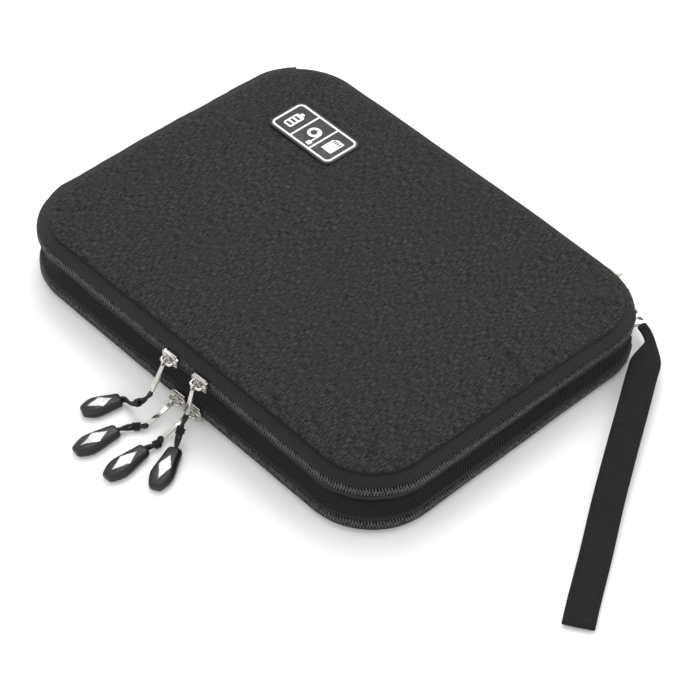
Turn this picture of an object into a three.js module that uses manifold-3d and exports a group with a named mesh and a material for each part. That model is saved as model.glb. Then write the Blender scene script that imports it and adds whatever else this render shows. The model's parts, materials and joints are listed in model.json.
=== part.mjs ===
// Two-layer cable organizer pouch with a wrist strap, closed and lying flat.
// Millimetres. X runs along the long side, -Y is the side with the sliders, +Y the spine, +Z up.
// The origin is the middle of the base, on the surface that the pouch lies on.
import * as THREE from 'three';
import { mergeVertices } from 'three/addons/utils/BufferGeometryUtils.js';
import Module from 'manifold-3d';

// Driving dimensions
const LENGTH = 240;
const DEPTH = 185;
const CORNER_RADIUS = 34;
const WEDGE = 0.18;              // how much thinner the spine is than the slider side, as a share
const LOWER_ZIP = 6;             // height of the lower zip at the slider side
const UPPER_ZIP = 28;            // height of the upper zip at the slider side
const SEAM_INSET = 6.3;          // how far the cover seams lie inside the zips
const TOP_HEIGHT = 37;
const GAP = 0.3;                 // clearance between neighbouring pieces
const CORNER_STEPS = 7;
const SPINE_SHARE = 50 / 90;     // share of each back corner that belongs to the spine
const SLIDER_LENGTH = 9.8;
const STRAP_WIDTH = 14;
const STRAP_THICKNESS = 2.2;
const CORD_DIAMETER = 2.2;

const HALF_LENGTH = LENGTH / 2;
const HALF_DEPTH = DEPTH / 2;
const FRONT = -HALF_DEPTH;

const wasm = await Module();
wasm.setup();

// Materials
const finish = (color, roughness, metalness = 0) =>
  new THREE.MeshStandardMaterial({ color, roughness, metalness });
const MATERIALS = {
  cover: finish(0x3a3836, 0.9),
  gusset: finish(0x2c2b2a, 0.9),
  lining: finish(0x35353a, 0.85),
  mesh: finish(0x202022, 0.9),
  coil: finish(0x161616, 0.45),
  tape: finish(0x1c1c1c, 0.9),
  nickel: finish(0xc9c9c6, 0.25, 1),
  toggle: finish(0x1a1a1a, 0.35),
  cord: finish(0x141414, 0.8),
  webbing: finish(0x191919, 0.85),
  elastic: finish(0x222224, 0.8),
  label: finish(0x121212, 0.6),
  labelInk: finish(0xe8e8e6, 0.6),
};

const pouch = new THREE.Group();

function add(name, geometry, material) {
  const mesh = new THREE.Mesh(geometry, MATERIALS[material]);
  mesh.name = name;
  pouch.add(mesh);
  return mesh;
}

// Geometry helpers

function geometryOf(points, triangles) {
  const geometry = new THREE.BufferGeometry();
  geometry.setAttribute('position', new THREE.Float32BufferAttribute(points.flat(), 3));
  geometry.setIndex(triangles.flat());
  return geometry;
}

// The pouch is a wedge: every height shrinks evenly from the slider side to the spine.
const wedgeAt = (y) => 1 - WEDGE * (y - FRONT) / DEPTH;

function wedged(geometry) {
  const position = geometry.attributes.position;
  for (let i = 0; i < position.count; i++) {
    position.setZ(i, position.getZ(i) * wedgeAt(position.getY(i)));
  }
  return geometry;
}

// Corner arcs of the plan outline, counter-clockwise, each as [centre x, centre y, first angle].
const CORNERS = [
  [HALF_LENGTH - CORNER_RADIUS, HALF_DEPTH - CORNER_RADIUS, 0],
  [CORNER_RADIUS - HALF_LENGTH, HALF_DEPTH - CORNER_RADIUS, 90],
  [CORNER_RADIUS - HALF_LENGTH, CORNER_RADIUS - HALF_DEPTH, 180],
  [HALF_LENGTH - CORNER_RADIUS, CORNER_RADIUS - HALF_DEPTH, 270],
];

// A station is a place on the outline with its outward normal.
function cornerStations([x, y, firstAngle], from = 0, to = 1, steps = CORNER_STEPS) {
  return Array.from({ length: steps + 1 }, (_, i) => {
    const angle = THREE.MathUtils.degToRad(firstAngle + 90 * (from + (to - from) * i / steps));
    const [nx, ny] = [Math.cos(angle), Math.sin(angle)];
    return { x: x + CORNER_RADIUS * nx, y: y + CORNER_RADIUS * ny, nx, ny };
  });
}

const wholeOutline = CORNERS.flatMap((corner) => cornerStations(corner));
const BACK_RIGHT = CORNERS[0];
const BACK_LEFT = CORNERS[1];
const endOfZip = 1 - SPINE_SHARE;
const GAP_SHARE = 0.01;
const zipRoute = [
  ...cornerStations(BACK_LEFT, 1 - endOfZip, 1, 4),
  ...cornerStations(CORNERS[2]),
  ...cornerStations(CORNERS[3]),
  ...cornerStations(BACK_RIGHT, 0, endOfZip, 4),
];
const spineRoute = [
  ...cornerStations(BACK_RIGHT, endOfZip + GAP_SHARE, 1, 4),
  ...cornerStations(BACK_LEFT, 0, 1 - endOfZip - GAP_SHARE, 4),
];

const placed = (station, inset, z) =>
  [station.x - inset * station.nx, station.y - inset * station.ny, z];

// A band has a closed section of [inset, height] corners, swept along a route of stations.
function band(section, route) {
  const points = route.flatMap((station) => section.map(([inset, z]) => placed(station, inset, z)));
  const n = section.length;
  const triangles = [];
  for (let s = 0; s + 1 < route.length; s++) {
    for (let k = 0; k < n; k++) {
      const [a, b] = [s * n + k, s * n + (k + 1) % n];
      triangles.push([a, a + n, b + n], [a, b + n, b]);
    }
  }
  const last = (route.length - 1) * n;
  for (let k = 1; k + 1 < n; k++) {
    triangles.push([0, k, k + 1], [last, last + k + 1, last + k]);
  }
  return outward(geometryOf(points, triangles));
}

// A slab is a stack of rounded rectangles, each [inset, height], from the bottom to the top.
function slab(profile, route = wholeOutline) {
  const n = route.length;
  const points = profile.flatMap(([inset, z]) => route.map((station) => placed(station, inset, z)));
  const triangles = [];
  for (let r = 0; r + 1 < profile.length; r++) {
    for (let k = 0; k < n; k++) {
      const [a, b] = [r * n + k, r * n + (k + 1) % n];
      triangles.push([a, b, b + n], [a, b + n, a + n]);
    }
  }
  const top = (profile.length - 1) * n;
  for (let k = 1; k + 1 < n; k++) {
    triangles.push([0, k + 1, k], [top, top + k, top + k + 1]);
  }
  return wedged(outward(geometryOf(points, triangles)));
}

// Turns every face over if the solid is inside out.
function outward(geometry) {
  const { position } = geometry.attributes;
  const index = geometry.index.array;
  const [a, b, c] = [new THREE.Vector3(), new THREE.Vector3(), new THREE.Vector3()];
  let volume = 0;
  for (let i = 0; i < index.length; i += 3) {
    a.fromBufferAttribute(position, index[i]);
    b.fromBufferAttribute(position, index[i + 1]);
    c.fromBufferAttribute(position, index[i + 2]);
    volume += a.dot(b.cross(c));
  }
  if (volume < 0) {
    for (let i = 0; i < index.length; i += 3) {
      [index[i + 1], index[i + 2]] = [index[i + 2], index[i + 1]];
    }
  }
  return geometry;
}

const wedgedBand = (section, route) => wedged(band(section, route));

function box(x0, x1, y0, y1, z0, z1) {
  const geometry = new THREE.BoxGeometry(x1 - x0, y1 - y0, z1 - z0);
  return geometry.translate((x0 + x1) / 2, (y0 + y1) / 2, (z0 + z1) / 2);
}

function toManifold(geometry) {
  const bare = geometry.clone();
  bare.deleteAttribute('normal');
  bare.deleteAttribute('uv');
  const merged = mergeVertices(bare, 1e-4);
  return new wasm.Manifold(new wasm.Mesh({
    numProp: 3,
    vertProperties: new Float32Array(merged.attributes.position.array),
    triVerts: new Uint32Array(merged.index.array),
  }));
}

function fromManifold(solid) {
  const mesh = solid.getMesh();
  const geometry = new THREE.BufferGeometry();
  geometry.setAttribute('position', new THREE.BufferAttribute(mesh.vertProperties, 3));
  geometry.setIndex(new THREE.BufferAttribute(mesh.triVerts, 1));
  return geometry;
}

const joined = (first, ...rest) =>
  fromManifold(rest.reduce((sum, next) => sum.add(toManifold(next)), toManifold(first)));

const cut = (first, ...rest) =>
  fromManifold(rest.reduce((left, next) => left.subtract(toManifold(next)), toManifold(first)));

// A round rod along points, as a prism swept over a smooth curve.
function rod(points, diameter, steps) {
  const curve = new THREE.CatmullRomCurve3(points.map((p) => new THREE.Vector3(...p)));
  const circle = new THREE.Shape();
  circle.absarc(0, 0, diameter / 2, 0, 2 * Math.PI);
  return new THREE.ExtrudeGeometry(circle, { steps, curveSegments: 8, extrudePath: curve });
}

// Covers, gussets and zips of one zip level are bands with these heights.
const COIL_DEPTH = 2.4;
const COIL_HEIGHT = 2.0;
const COIL_GAP = 0.2;            // half the gap between two closed coils
const TAPE = [2.7, 3.3];         // insets of the zip tape behind the coils
const WALL = 1.2;                // thickness of a gusset, measured level
const SLOPE_WALL = 2.2;          // the same on the flatter cover gussets
const LIP_INSET = 0.9;           // inset of a gusset at its zip

const rect = (o0, o1, z0, z1) => [[o0, z0], [o1, z0], [o1, z1], [o0, z1]];
const slope = (o0, z0, o1, z1, wall) => [[o0, z0], [o1, z1], [o1 + wall, z1], [o0 + wall, z0]];

function zipHalf(zip, side) {
  const [near, far] = [zip + side * COIL_GAP, zip + side * (COIL_GAP + COIL_HEIGHT)];
  const [low, high] = [Math.min(near, far), Math.max(near, far)];
  return { coil: rect(0, COIL_DEPTH, low, high), tape: rect(...TAPE, low, high) };
}

// Bottom cover
const BOTTOM_SEAM = 0.9;
const POCKET_HALF = 98;          // half the length of every inside pocket
const POCKET_BACK = 74;          // where the pockets end beside the spine
const zipEdge = COIL_GAP + COIL_HEIGHT + GAP;
add('bottom_panel', slab([[10.5, 0], [9, 0.7], [9, 2.4], [9.8, 3]]), 'cover');
add('bottom_gusset', wedgedBand(
  slope(LIP_INSET, LOWER_ZIP - zipEdge, SEAM_INSET, BOTTOM_SEAM, SLOPE_WALL), zipRoute), 'gusset');
const lowerCover = zipHalf(LOWER_ZIP, -1);
add('lower_coil_cover', wedgedBand(lowerCover.coil, zipRoute), 'coil');
add('lower_tape_cover', wedgedBand(lowerCover.tape, zipRoute), 'tape');
add('bottom_spine_strip', wedgedBand(
  slope(LIP_INSET, LOWER_ZIP - GAP, SEAM_INSET, BOTTOM_SEAM, SLOPE_WALL), spineRoute), 'gusset');
add('bottom_lining', slab([[12, 3.3], [12, 4.5]]), 'lining');
add('bottom_mesh_pocket', wedged(box(-POCKET_HALF, POCKET_HALF, -30, POCKET_BACK, 4.8, 5.8)), 'mesh');
add('bottom_pocket_hem', wedged(box(-POCKET_HALF, POCKET_HALF, -36, -30.5, 4.8, 6.2)), 'elastic');

// Middle tray with the divider board
const DIVIDER_LOW = 15.2;
const DIVIDER_HIGH = 17.8;
add('divider_board', slab([[8.6, DIVIDER_LOW], [7.9, 15.8], [7.9, 17.2], [8.6, DIVIDER_HIGH]]),
  'lining');
const lowerTray = zipHalf(LOWER_ZIP, 1);
add('lower_coil_tray', wedgedBand(lowerTray.coil, zipRoute), 'coil');
add('lower_tape_tray', wedgedBand(lowerTray.tape, zipRoute), 'tape');
add('lower_waist_gusset', wedgedBand(
  slope(LIP_INSET, LOWER_ZIP + zipEdge, SEAM_INSET, DIVIDER_LOW, WALL), zipRoute), 'gusset');
add('upper_waist_gusset', wedgedBand(
  slope(LIP_INSET, UPPER_ZIP - zipEdge, SEAM_INSET, DIVIDER_HIGH, WALL), zipRoute), 'gusset');
const upperTray = zipHalf(UPPER_ZIP, -1);
add('upper_coil_tray', wedgedBand(upperTray.coil, zipRoute), 'coil');
add('upper_tape_tray', wedgedBand(upperTray.tape, zipRoute), 'tape');
add('spine_panel', wedgedBand(rect(0.9, 2.4, LOWER_ZIP + GAP, UPPER_ZIP - GAP), spineRoute), 'cover');
const ELASTIC_PLACES = { left: -70, middle: 0, right: 70 };
const ELASTIC_HALF = 10;
const ELASTIC_END = 72;
for (const [side, x] of Object.entries(ELASTIC_PLACES)) {
  const strip = box(x - ELASTIC_HALF, x + ELASTIC_HALF, -ELASTIC_END, ELASTIC_END, 18.1, 19.1);
  add(`elastic_band_${side}`, wedged(strip), 'elastic');
}
add('tablet_pocket', wedged(box(-POCKET_HALF, POCKET_HALF, -60, POCKET_BACK, 13.6, 14.9)), 'mesh');

// Lid
const TOP_SEAM = 33.6;
add('top_panel', slab([
  [6.6, TOP_SEAM + 0.4], [6, 34.8], [8, 35.8], [14, 36.6], [26, TOP_HEIGHT]]), 'cover');
add('top_gusset', wedgedBand(
  slope(LIP_INSET, UPPER_ZIP + zipEdge, SEAM_INSET, TOP_SEAM, SLOPE_WALL), zipRoute), 'gusset');
const lidHalf = zipHalf(UPPER_ZIP, 1);
add('upper_coil_lid', wedgedBand(lidHalf.coil, zipRoute), 'coil');
add('upper_tape_lid', wedgedBand(lidHalf.tape, zipRoute), 'tape');
add('lid_spine_strip', wedgedBand(
  slope(LIP_INSET, UPPER_ZIP + GAP, SEAM_INSET, TOP_SEAM, SLOPE_WALL), spineRoute), 'gusset');
add('lid_lining', slab([[9.2, 32.2], [9.2, TOP_SEAM]]), 'lining');
add('lid_mesh_pocket', wedged(box(-POCKET_HALF, POCKET_HALF, -58, POCKET_BACK, 30.7, 31.9)), 'mesh');
add('pocket_zip', wedged(box(-POCKET_HALF, POCKET_HALF, -64, -58.4, 30.7, 31.9)), 'coil');
add('pocket_slider', wedged(box(72, 80, -63.6, -58.8, 29.2, 30.4)), 'nickel');
add('pocket_pull', wedged(box(80.4, 94, -62.6, -59.8, 29.3, 30.3)), 'nickel');

// Label on the lid: a rubber patch with a raised border and two dividers
const LABEL = { x: -64.5, y: 48, length: 42, width: 23, border: 1.2, cell: 13.2 };

function roundedRectangle(length, width, radius, path = new THREE.Shape()) {
  const [x, y] = [length / 2 - radius, width / 2 - radius];
  path.absarc(x, y, radius, 0, Math.PI / 2);
  path.absarc(-x, y, radius, Math.PI / 2, Math.PI);
  path.absarc(-x, -y, radius, Math.PI, 1.5 * Math.PI);
  path.absarc(x, -y, radius, 1.5 * Math.PI, 2 * Math.PI);
  return path;
}

function labelPiece(shape, low, high) {
  const geometry = new THREE.ExtrudeGeometry(shape, {
    depth: high - low, bevelEnabled: false, curveSegments: 4 });
  return wedged(geometry.translate(LABEL.x, LABEL.y, low));
}

const patch = roundedRectangle(LABEL.length, LABEL.width, 4);
add('label_patch', labelPiece(patch, TOP_HEIGHT + GAP, 38.4), 'label');
const frame = new THREE.ExtrudeGeometry(roundedRectangle(LABEL.length - 2, LABEL.width - 2, 2), {
  depth: 0.4, bevelEnabled: false, curveSegments: 4 });
const cells = [-LABEL.cell, 0, LABEL.cell].map((x) => {
  const [half, height] = [(LABEL.cell - LABEL.border) / 2, LABEL.width / 2 - 2.3];
  return box(x - half, x + half, -height, height, -1, 1);
});
add('label_border', wedged(cut(frame, ...cells).translate(LABEL.x, LABEL.y, 38.7)), 'labelInk');

// Sliders with their pull tabs. The section of a slider lies in the YZ plane and runs along X.
function alongX(shape, x0, x1) {
  const geometry = new THREE.ExtrudeGeometry(shape, {
    depth: x1 - x0, bevelEnabled: false, curveSegments: 6 });
  const axes = new THREE.Matrix4().makeBasis(
    new THREE.Vector3(0, 1, 0), new THREE.Vector3(0, 0, 1), new THREE.Vector3(1, 0, 0));
  return geometry.applyMatrix4(axes).translate(x0, 0, 0);
}

const polygon = (corners) => new THREE.Shape(corners.map(([a, b]) => new THREE.Vector2(a, b)));
const SLIDER_FACE = FRONT - 0.5;
const SLIDER_FRONT = FRONT - 2.3;
const BAIL_Y = FRONT - 4.95;     // the middle of the bail's bar
const BAIL_HALF = [0.55, 0.8];   // half its size along Y and Z

function slider(x0, zip) {
  const x1 = x0 + SLIDER_LENGTH;
  const middle = (x0 + x1) / 2;
  const lipTop = zip - COIL_GAP - COIL_HEIGHT - GAP;
  const plate = alongX(polygon([
    [SLIDER_FRONT, zip + 2.6], [SLIDER_FRONT, zip - 2.6], [SLIDER_FACE, lipTop - 0.8],
    [FRONT + 0.4, lipTop - 0.8], [FRONT + 0.4, lipTop], [SLIDER_FACE, lipTop],
    [SLIDER_FACE, zip + 3.4],
  ]), x0, x1);
  const bailFront = BAIL_Y - BAIL_HALF[0];
  const bailBack = SLIDER_FRONT + 0.5;
  const [zLow, zHigh] = [zip - BAIL_HALF[1], zip + BAIL_HALF[1]];
  const bar = box(middle - 3.4, middle + 3.4, bailFront, BAIL_Y + BAIL_HALF[0], zLow, zHigh);
  const feet = [-1, 1].map((side) => {
    const inner = middle + side * 2.1;
    const outer = middle + side * 3.4;
    return box(Math.min(inner, outer), Math.max(inner, outer), bailFront, bailBack, zLow, zHigh);
  });
  return joined(plate, bar, ...feet);
}

const EYE_OUTER = 1.95;
const EYE_INNER = 1.3;
const TAB_WIDTH = 2.8;
const TAB_HALF = 0.65;           // half the thickness of the tab's blade
const TAB_LENGTH = 15;

// A tab is an eye round the bail with a blade that points down at an angle out from the pouch.
function pullTab(middle, zip, outwardDegrees) {
  const shape = new THREE.Shape();
  const half = Math.asin(TAB_HALF / EYE_OUTER);
  shape.absarc(0, 0, EYE_OUTER, half, 2 * Math.PI - half);
  shape.lineTo(TAB_LENGTH, -TAB_HALF);
  shape.lineTo(TAB_LENGTH, TAB_HALF);
  const hole = new THREE.Path();
  hole.absarc(0, 0, EYE_INNER, 0, 2 * Math.PI);
  shape.holes.push(hole);
  const geometry = alongX(shape, -TAB_WIDTH / 2, TAB_WIDTH / 2);
  const turn = THREE.MathUtils.degToRad(-90 - outwardDegrees);
  return geometry.rotateX(turn).translate(middle, BAIL_Y, zip);
}

const TOGGLE_THICKNESS = 5.4;
const TOGGLE_BEVEL = 1.2;

// A toggle is a flat drop: narrow at the cord's mouth, pointed at the far tip.
function toggle([mouthX, mouthY], [tipX, tipY]) {
  const length = Math.hypot(tipX - mouthX, tipY - mouthY) - 2 * TOGGLE_BEVEL;
  const shape = new THREE.Shape();
  shape.moveTo(0, -1.6);
  shape.quadraticCurveTo(length * 0.35, -5.2, length * 0.62, -4.1);
  shape.quadraticCurveTo(length * 0.88, -2.6, length, 0);
  shape.quadraticCurveTo(length * 0.88, 2.6, length * 0.62, 4.1);
  shape.quadraticCurveTo(length * 0.35, 5.2, 0, 1.6);
  const geometry = new THREE.ExtrudeGeometry(shape, {
    depth: TOGGLE_THICKNESS - 2 * TOGGLE_BEVEL, bevelThickness: TOGGLE_BEVEL,
    bevelSize: TOGGLE_BEVEL, bevelSegments: 1, curveSegments: 4 });
  geometry.translate(TOGGLE_BEVEL, 0, TOGGLE_BEVEL);
  geometry.rotateZ(Math.atan2(tipY - mouthY, tipX - mouthX));
  return geometry.translate(mouthX, mouthY, 0.05);
}

// Each pull is a slider, its tab, a knotted cord and a toggle that lies on the surface.
const PULLS = {
  upper_left: {
    sliderX: -7.9, zip: UPPER_ZIP, outwardDegrees: 32,
    cord: [[-3, -106.2, 14.3], [-5, -108.6, 10.5], [-8.5, -110, 6.6], [-12.5, -110.2, 3.8],
      [-16.6, -110.4, 2.9]],
    toggle: [[-17.7, -111.4], [-23.7, -128.6]],
  },
  lower_left: {
    sliderX: -3.4, zip: LOWER_ZIP, outwardDegrees: 76,
    cord: [[1.4, -113.3, 2.4], [-0.4, -115.2, 2], [-2.6, -118.5, 2.2], [-4.6, -123.4, 2.6]],
    toggle: [[-4.9, -124.1], [-7.4, -145.6]],
  },
  lower_right: {
    sliderX: 6.7, zip: LOWER_ZIP, outwardDegrees: 76,
    cord: [[11.6, -113.3, 2.4], [12.6, -115.2, 2], [12.4, -118, 2.2], [11.8, -121.6, 2.6]],
    toggle: [[11.8, -122.3], [13, -145]],
  },
  upper_right: {
    sliderX: 11.4, zip: UPPER_ZIP, outwardDegrees: 18,
    cord: [[16.3, -102.6, 12.7], [16.4, -104.8, 9], [17.4, -107.6, 5.4], [18.8, -110, 3.4],
      [20.4, -112, 2.8]],
    toggle: [[20.8, -112.7], [31.6, -133.6]],
  },
};

for (const [name, pull] of Object.entries(PULLS)) {
  const middle = pull.sliderX + SLIDER_LENGTH / 2;
  add(`slider_${name}`, slider(pull.sliderX, pull.zip), 'nickel');
  add(`pull_tab_${name}`, pullTab(middle, pull.zip, pull.outwardDegrees), 'nickel');
  add(`pull_cord_${name}`, rod(pull.cord, CORD_DIAMETER, 10), 'cord');
  add(`toggle_${name}`, toggle(...pull.toggle), 'toggle');
}

// Ring on the spine, with a trigger clasp and the wrist strap
const RING = { x: 78, y: HALF_DEPTH + 3.2, z: 12.5, half: 8.5, reach: 12, hang: 35, wire: 1.8 };
const TAB_GAP = 0.35;
const TAB_CLOTH = 1.2;
const TAB_SPAN = [72.5, 83.5];       // the tab's two side edges along X
const tabInner = RING.wire / 2 + TAB_GAP;
const tabOuter = tabInner + TAB_CLOTH;
const ringTab = joined(
  box(...TAB_SPAN, HALF_DEPTH - 0.55, RING.y + 2.2, RING.z + tabInner, RING.z + tabOuter),
  box(...TAB_SPAN, HALF_DEPTH - 0.55, RING.y + 2.2, RING.z - tabOuter, RING.z - tabInner),
  box(...TAB_SPAN, RING.y + 1.4, RING.y + 2.6, RING.z - tabOuter, RING.z + tabOuter),
);
add('ring_tab', ringTab, 'webbing');

function dRing() {
  const sweep = [];
  const shoulder = 5;
  const corner = 1.6;
  const [right, far] = [RING.half - RING.wire / 2, RING.reach];
  const arc = (cx, cy, r, from, to, steps) => {
    for (let i = 0; i <= steps; i++) {
      const angle = THREE.MathUtils.degToRad(from + (to - from) * i / steps);
      sweep.push([cx + r * Math.cos(angle), cy + r * Math.sin(angle)]);
    }
  };
  arc(right - corner, corner, corner, -90, 0, 3);
  arc(right - shoulder, far - shoulder, shoulder, 0, 90, 5);
  arc(shoulder - right, far - shoulder, shoulder, 90, 180, 5);
  arc(corner - right, corner, corner, 180, 270, 3);
  const hang = THREE.MathUtils.degToRad(RING.hang);
  const points = sweep.map(([across, along]) => [
    RING.x + across, RING.y + along * Math.cos(hang), RING.z - along * Math.sin(hang)]);
  return sweptRing(points, RING.wire / 2, 8);
}

// A closed ring of round wire through a flat loop of points.
function sweptRing(points, radius, sides) {
  const loop = points.map((p) => new THREE.Vector3(...p));
  const n = loop.length;
  const centre = loop.reduce((sum, p) => sum.add(p), new THREE.Vector3()).divideScalar(n);
  const normal = new THREE.Vector3();
  loop.forEach((p, i) => normal.add(
    p.clone().sub(centre).cross(loop[(i + 1) % n].clone().sub(centre))));
  normal.normalize();
  const vertices = [];
  const triangles = [];
  loop.forEach((p, i) => {
    const tangent = loop[(i + 1) % n].clone().sub(loop[(i + n - 1) % n]).normalize();
    const side = tangent.clone().cross(normal);
    for (let k = 0; k < sides; k++) {
      const angle = 2 * Math.PI * k / sides;
      const point = p.clone()
        .addScaledVector(side, radius * Math.cos(angle))
        .addScaledVector(normal, radius * Math.sin(angle));
      vertices.push(point.toArray());
      const [a, b] = [i * sides + k, i * sides + (k + 1) % sides];
      const next = ((i + 1) % n) * sides - i * sides;
      triangles.push([a, a + next, b + next], [a, b + next, b]);
    }
  });
  return outward(geometryOf(vertices, triangles));
}
add('d_ring', dRing(), 'nickel');

// The clasp's own axes are u, along it, and v, level and away from the pouch. Its hook stands
// on edge round the ring, and its eye lies level under the strap.
const CLASP = { x: 85.6, y: 100.8, z: 8.2, heading: -29, thickness: 2 };
const HOOK = { outer: 4.9, inner: 3.35 };

function onClasp(geometry) {
  return geometry.rotateZ(THREE.MathUtils.degToRad(CLASP.heading))
    .translate(CLASP.x, CLASP.y, CLASP.z);
}

function levelPlate(shape, thickness) {
  const geometry = new THREE.ExtrudeGeometry(shape, {
    depth: thickness, bevelEnabled: false, curveSegments: 8 });
  return geometry.translate(0, 0, -thickness / 2);
}

const onEdge = (geometry) => geometry.rotateX(Math.PI / 2);

function alongClasp(profile) {
  const lathe = new THREE.LatheGeometry(profile.map(([r, u]) => new THREE.Vector2(r, u)), 12);
  return lathe.rotateZ(-Math.PI / 2);
}

function claspBody() {
  const shape = new THREE.Shape();
  const tip = THREE.MathUtils.degToRad(-60);
  shape.absarc(0, 0, HOOK.outer, tip, Math.PI / 2, true);
  shape.lineTo(8, HOOK.outer);
  shape.lineTo(10.6, 2);
  shape.lineTo(13, 2);
  shape.lineTo(13, -2.2);
  shape.lineTo(10.6, -HOOK.outer);
  shape.lineTo(8.4, -HOOK.outer);
  shape.lineTo(8.4, -1.6);
  shape.lineTo(6.4, HOOK.inner - 0.6);
  shape.lineTo(5.6, HOOK.inner);
  shape.absarc(0, 0, HOOK.inner, Math.PI / 2, tip, false);
  const barrel = alongClasp([[0, 12], [2, 12], [2, 20], [1.5, 20], [1.5, 17.6],
    [1.75, 17.6], [1.75, 15.4], [0, 15.4], [0, 12]]);
  return onClasp(joined(onEdge(levelPlate(shape, CLASP.thickness)), barrel));
}
add('clasp_body', claspBody(), 'nickel');
add('clasp_gate', onClasp(onEdge(levelPlate(polygon([
  [8, -4.7], [8, -3.2], [2.9, -3.2], [3.1, -4.6]]), CLASP.thickness))), 'nickel');

const EYE_END = 27;              // where the eye's far bar ends along u
const EYE_HALF = 3.1;
const EYE_WIDE_FROM = 23.2;      // where the eye reaches its full width along u

function swivelEye() {
  const shape = polygon([[20.4, -1.5], [EYE_WIDE_FROM, -EYE_HALF], [EYE_END, -EYE_HALF],
    [EYE_END, EYE_HALF], [EYE_WIDE_FROM, EYE_HALF], [20.4, 1.5]]);
  shape.holes.push(new THREE.Path([[22.4, -0.9], [22.4, 0.9], [23.8, 2.4], [25.4, 2.4],
    [25.4, -2.4], [23.8, -2.4]].map(([u, v]) => new THREE.Vector2(u, v))));
  const stem = alongClasp([[0, 15.8], [1.4, 15.8], [1.4, 17.2], [1, 17.2], [1, 21.2],
    [0, 21.2], [0, 15.8]]);
  return onClasp(joined(levelPlate(shape, 2), stem));
}
add('swivel_eye', swivelEye(), 'nickel');

// The strap is a flat doubled loop of webbing, with a narrow neck at the clasp. Its route is
// chosen by hand, from the clasp out.
const STRAP_ROUTE = [
  [109.9, 88, 8.5], [114.1, 86.5, 8.6], [119.5, 83.1, 8.8], [123.5, 77.9, 9], [127.5, 71.1, 8.9],
  [131.9, 63.3, 8.5], [139.9, 50.1, 7.8], [153.8, 26.7, 6.2], [168.2, 2.9, 4.3], [182.4, -19.4, 2.6],
  [196.2, -41.8, 1.7], [203.4, -53, 2],
];
const NECK_WIDTH = 4.4;
const NECK_END = 0.05;           // shares of the route where the neck ends
const FULL_WIDTH_AT = 0.15;      // and where the strap has its full width

function strapWidth(share) {
  const grown = THREE.MathUtils.smoothstep(share, NECK_END, FULL_WIDTH_AT);
  return NECK_WIDTH + (STRAP_WIDTH - NECK_WIDTH) * grown;
}

function flatStrap(route, thickness) {
  const curve = new THREE.CatmullRomCurve3(route.map((p) => new THREE.Vector3(...p)));
  const steps = 28;
  const points = [];
  const triangles = [];
  for (let i = 0; i <= steps; i++) {
    const centre = curve.getPointAt(i / steps);
    const tangent = curve.getTangentAt(i / steps);
    const across = new THREE.Vector3(0, 0, 1).cross(tangent).normalize();
    const half = strapWidth(i / steps) / 2;
    for (const [a, h] of [[-1, -1], [1, -1], [1, 1], [-1, 1]]) {
      points.push(centre.clone().addScaledVector(across, a * half)
        .add(new THREE.Vector3(0, 0, h * thickness / 2)).toArray());
    }
    for (let k = 0; i > 0 && k < 4; k++) {
      const [a, b] = [(i - 1) * 4 + k, (i - 1) * 4 + (k + 1) % 4];
      triangles.push([a, a + 4, b + 4], [a, b + 4, b]);
    }
  }
  const last = steps * 4;
  triangles.push([0, 1, 2], [0, 2, 3], [last, last + 2, last + 1], [last, last + 3, last + 2]);
  return outward(geometryOf(points, triangles));
}
add('wrist_strap', flatStrap(STRAP_ROUTE, STRAP_THICKNESS), 'webbing');

export default pouch;
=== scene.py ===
"""A closed two-layer cable pouch of charcoal cloth, with toggled pulls and a wrist strap."""
import json
import math

import bmesh
import bpy
from bpy.props import FloatProperty, FloatVectorProperty, IntProperty, PointerProperty
from mathutils import Matrix, Vector, noise

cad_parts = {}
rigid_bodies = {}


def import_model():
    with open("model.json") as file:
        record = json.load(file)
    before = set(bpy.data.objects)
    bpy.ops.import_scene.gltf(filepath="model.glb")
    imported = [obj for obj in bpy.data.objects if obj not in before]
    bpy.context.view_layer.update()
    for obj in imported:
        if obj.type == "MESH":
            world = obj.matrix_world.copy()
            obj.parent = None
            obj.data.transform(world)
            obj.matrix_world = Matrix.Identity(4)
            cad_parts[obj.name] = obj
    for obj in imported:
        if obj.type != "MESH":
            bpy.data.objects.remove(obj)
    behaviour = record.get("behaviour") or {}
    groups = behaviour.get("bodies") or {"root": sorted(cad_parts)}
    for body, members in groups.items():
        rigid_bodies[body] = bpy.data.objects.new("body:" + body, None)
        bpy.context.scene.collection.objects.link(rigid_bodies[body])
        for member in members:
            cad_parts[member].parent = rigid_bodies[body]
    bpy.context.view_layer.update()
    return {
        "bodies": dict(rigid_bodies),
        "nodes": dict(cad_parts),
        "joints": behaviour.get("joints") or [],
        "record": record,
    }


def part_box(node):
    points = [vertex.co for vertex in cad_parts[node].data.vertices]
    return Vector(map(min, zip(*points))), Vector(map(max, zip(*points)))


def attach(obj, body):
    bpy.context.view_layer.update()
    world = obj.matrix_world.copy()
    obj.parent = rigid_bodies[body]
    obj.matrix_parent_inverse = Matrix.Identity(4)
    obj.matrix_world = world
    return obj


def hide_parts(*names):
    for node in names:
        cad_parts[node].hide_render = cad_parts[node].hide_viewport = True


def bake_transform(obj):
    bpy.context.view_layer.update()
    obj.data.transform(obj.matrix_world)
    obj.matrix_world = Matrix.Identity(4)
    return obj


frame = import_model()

bl_info = {
    "name": "Cable Pouch",
    "version": (1, 0, 0),
    "blender": (4, 5, 0),
    "location": "3D View > Sidebar > Pouch",
    "description": "Builds a closed two-layer zip pouch with toggled pulls and a wrist strap",
    "category": "Add Mesh",
}

MM = 0.001
COIL_LOW, COIL_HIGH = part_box("upper_coil_lid")
UP = Vector((0, 0, 1))


# ---- Sizes, colours and studio values -------------------------------------------------------

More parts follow.
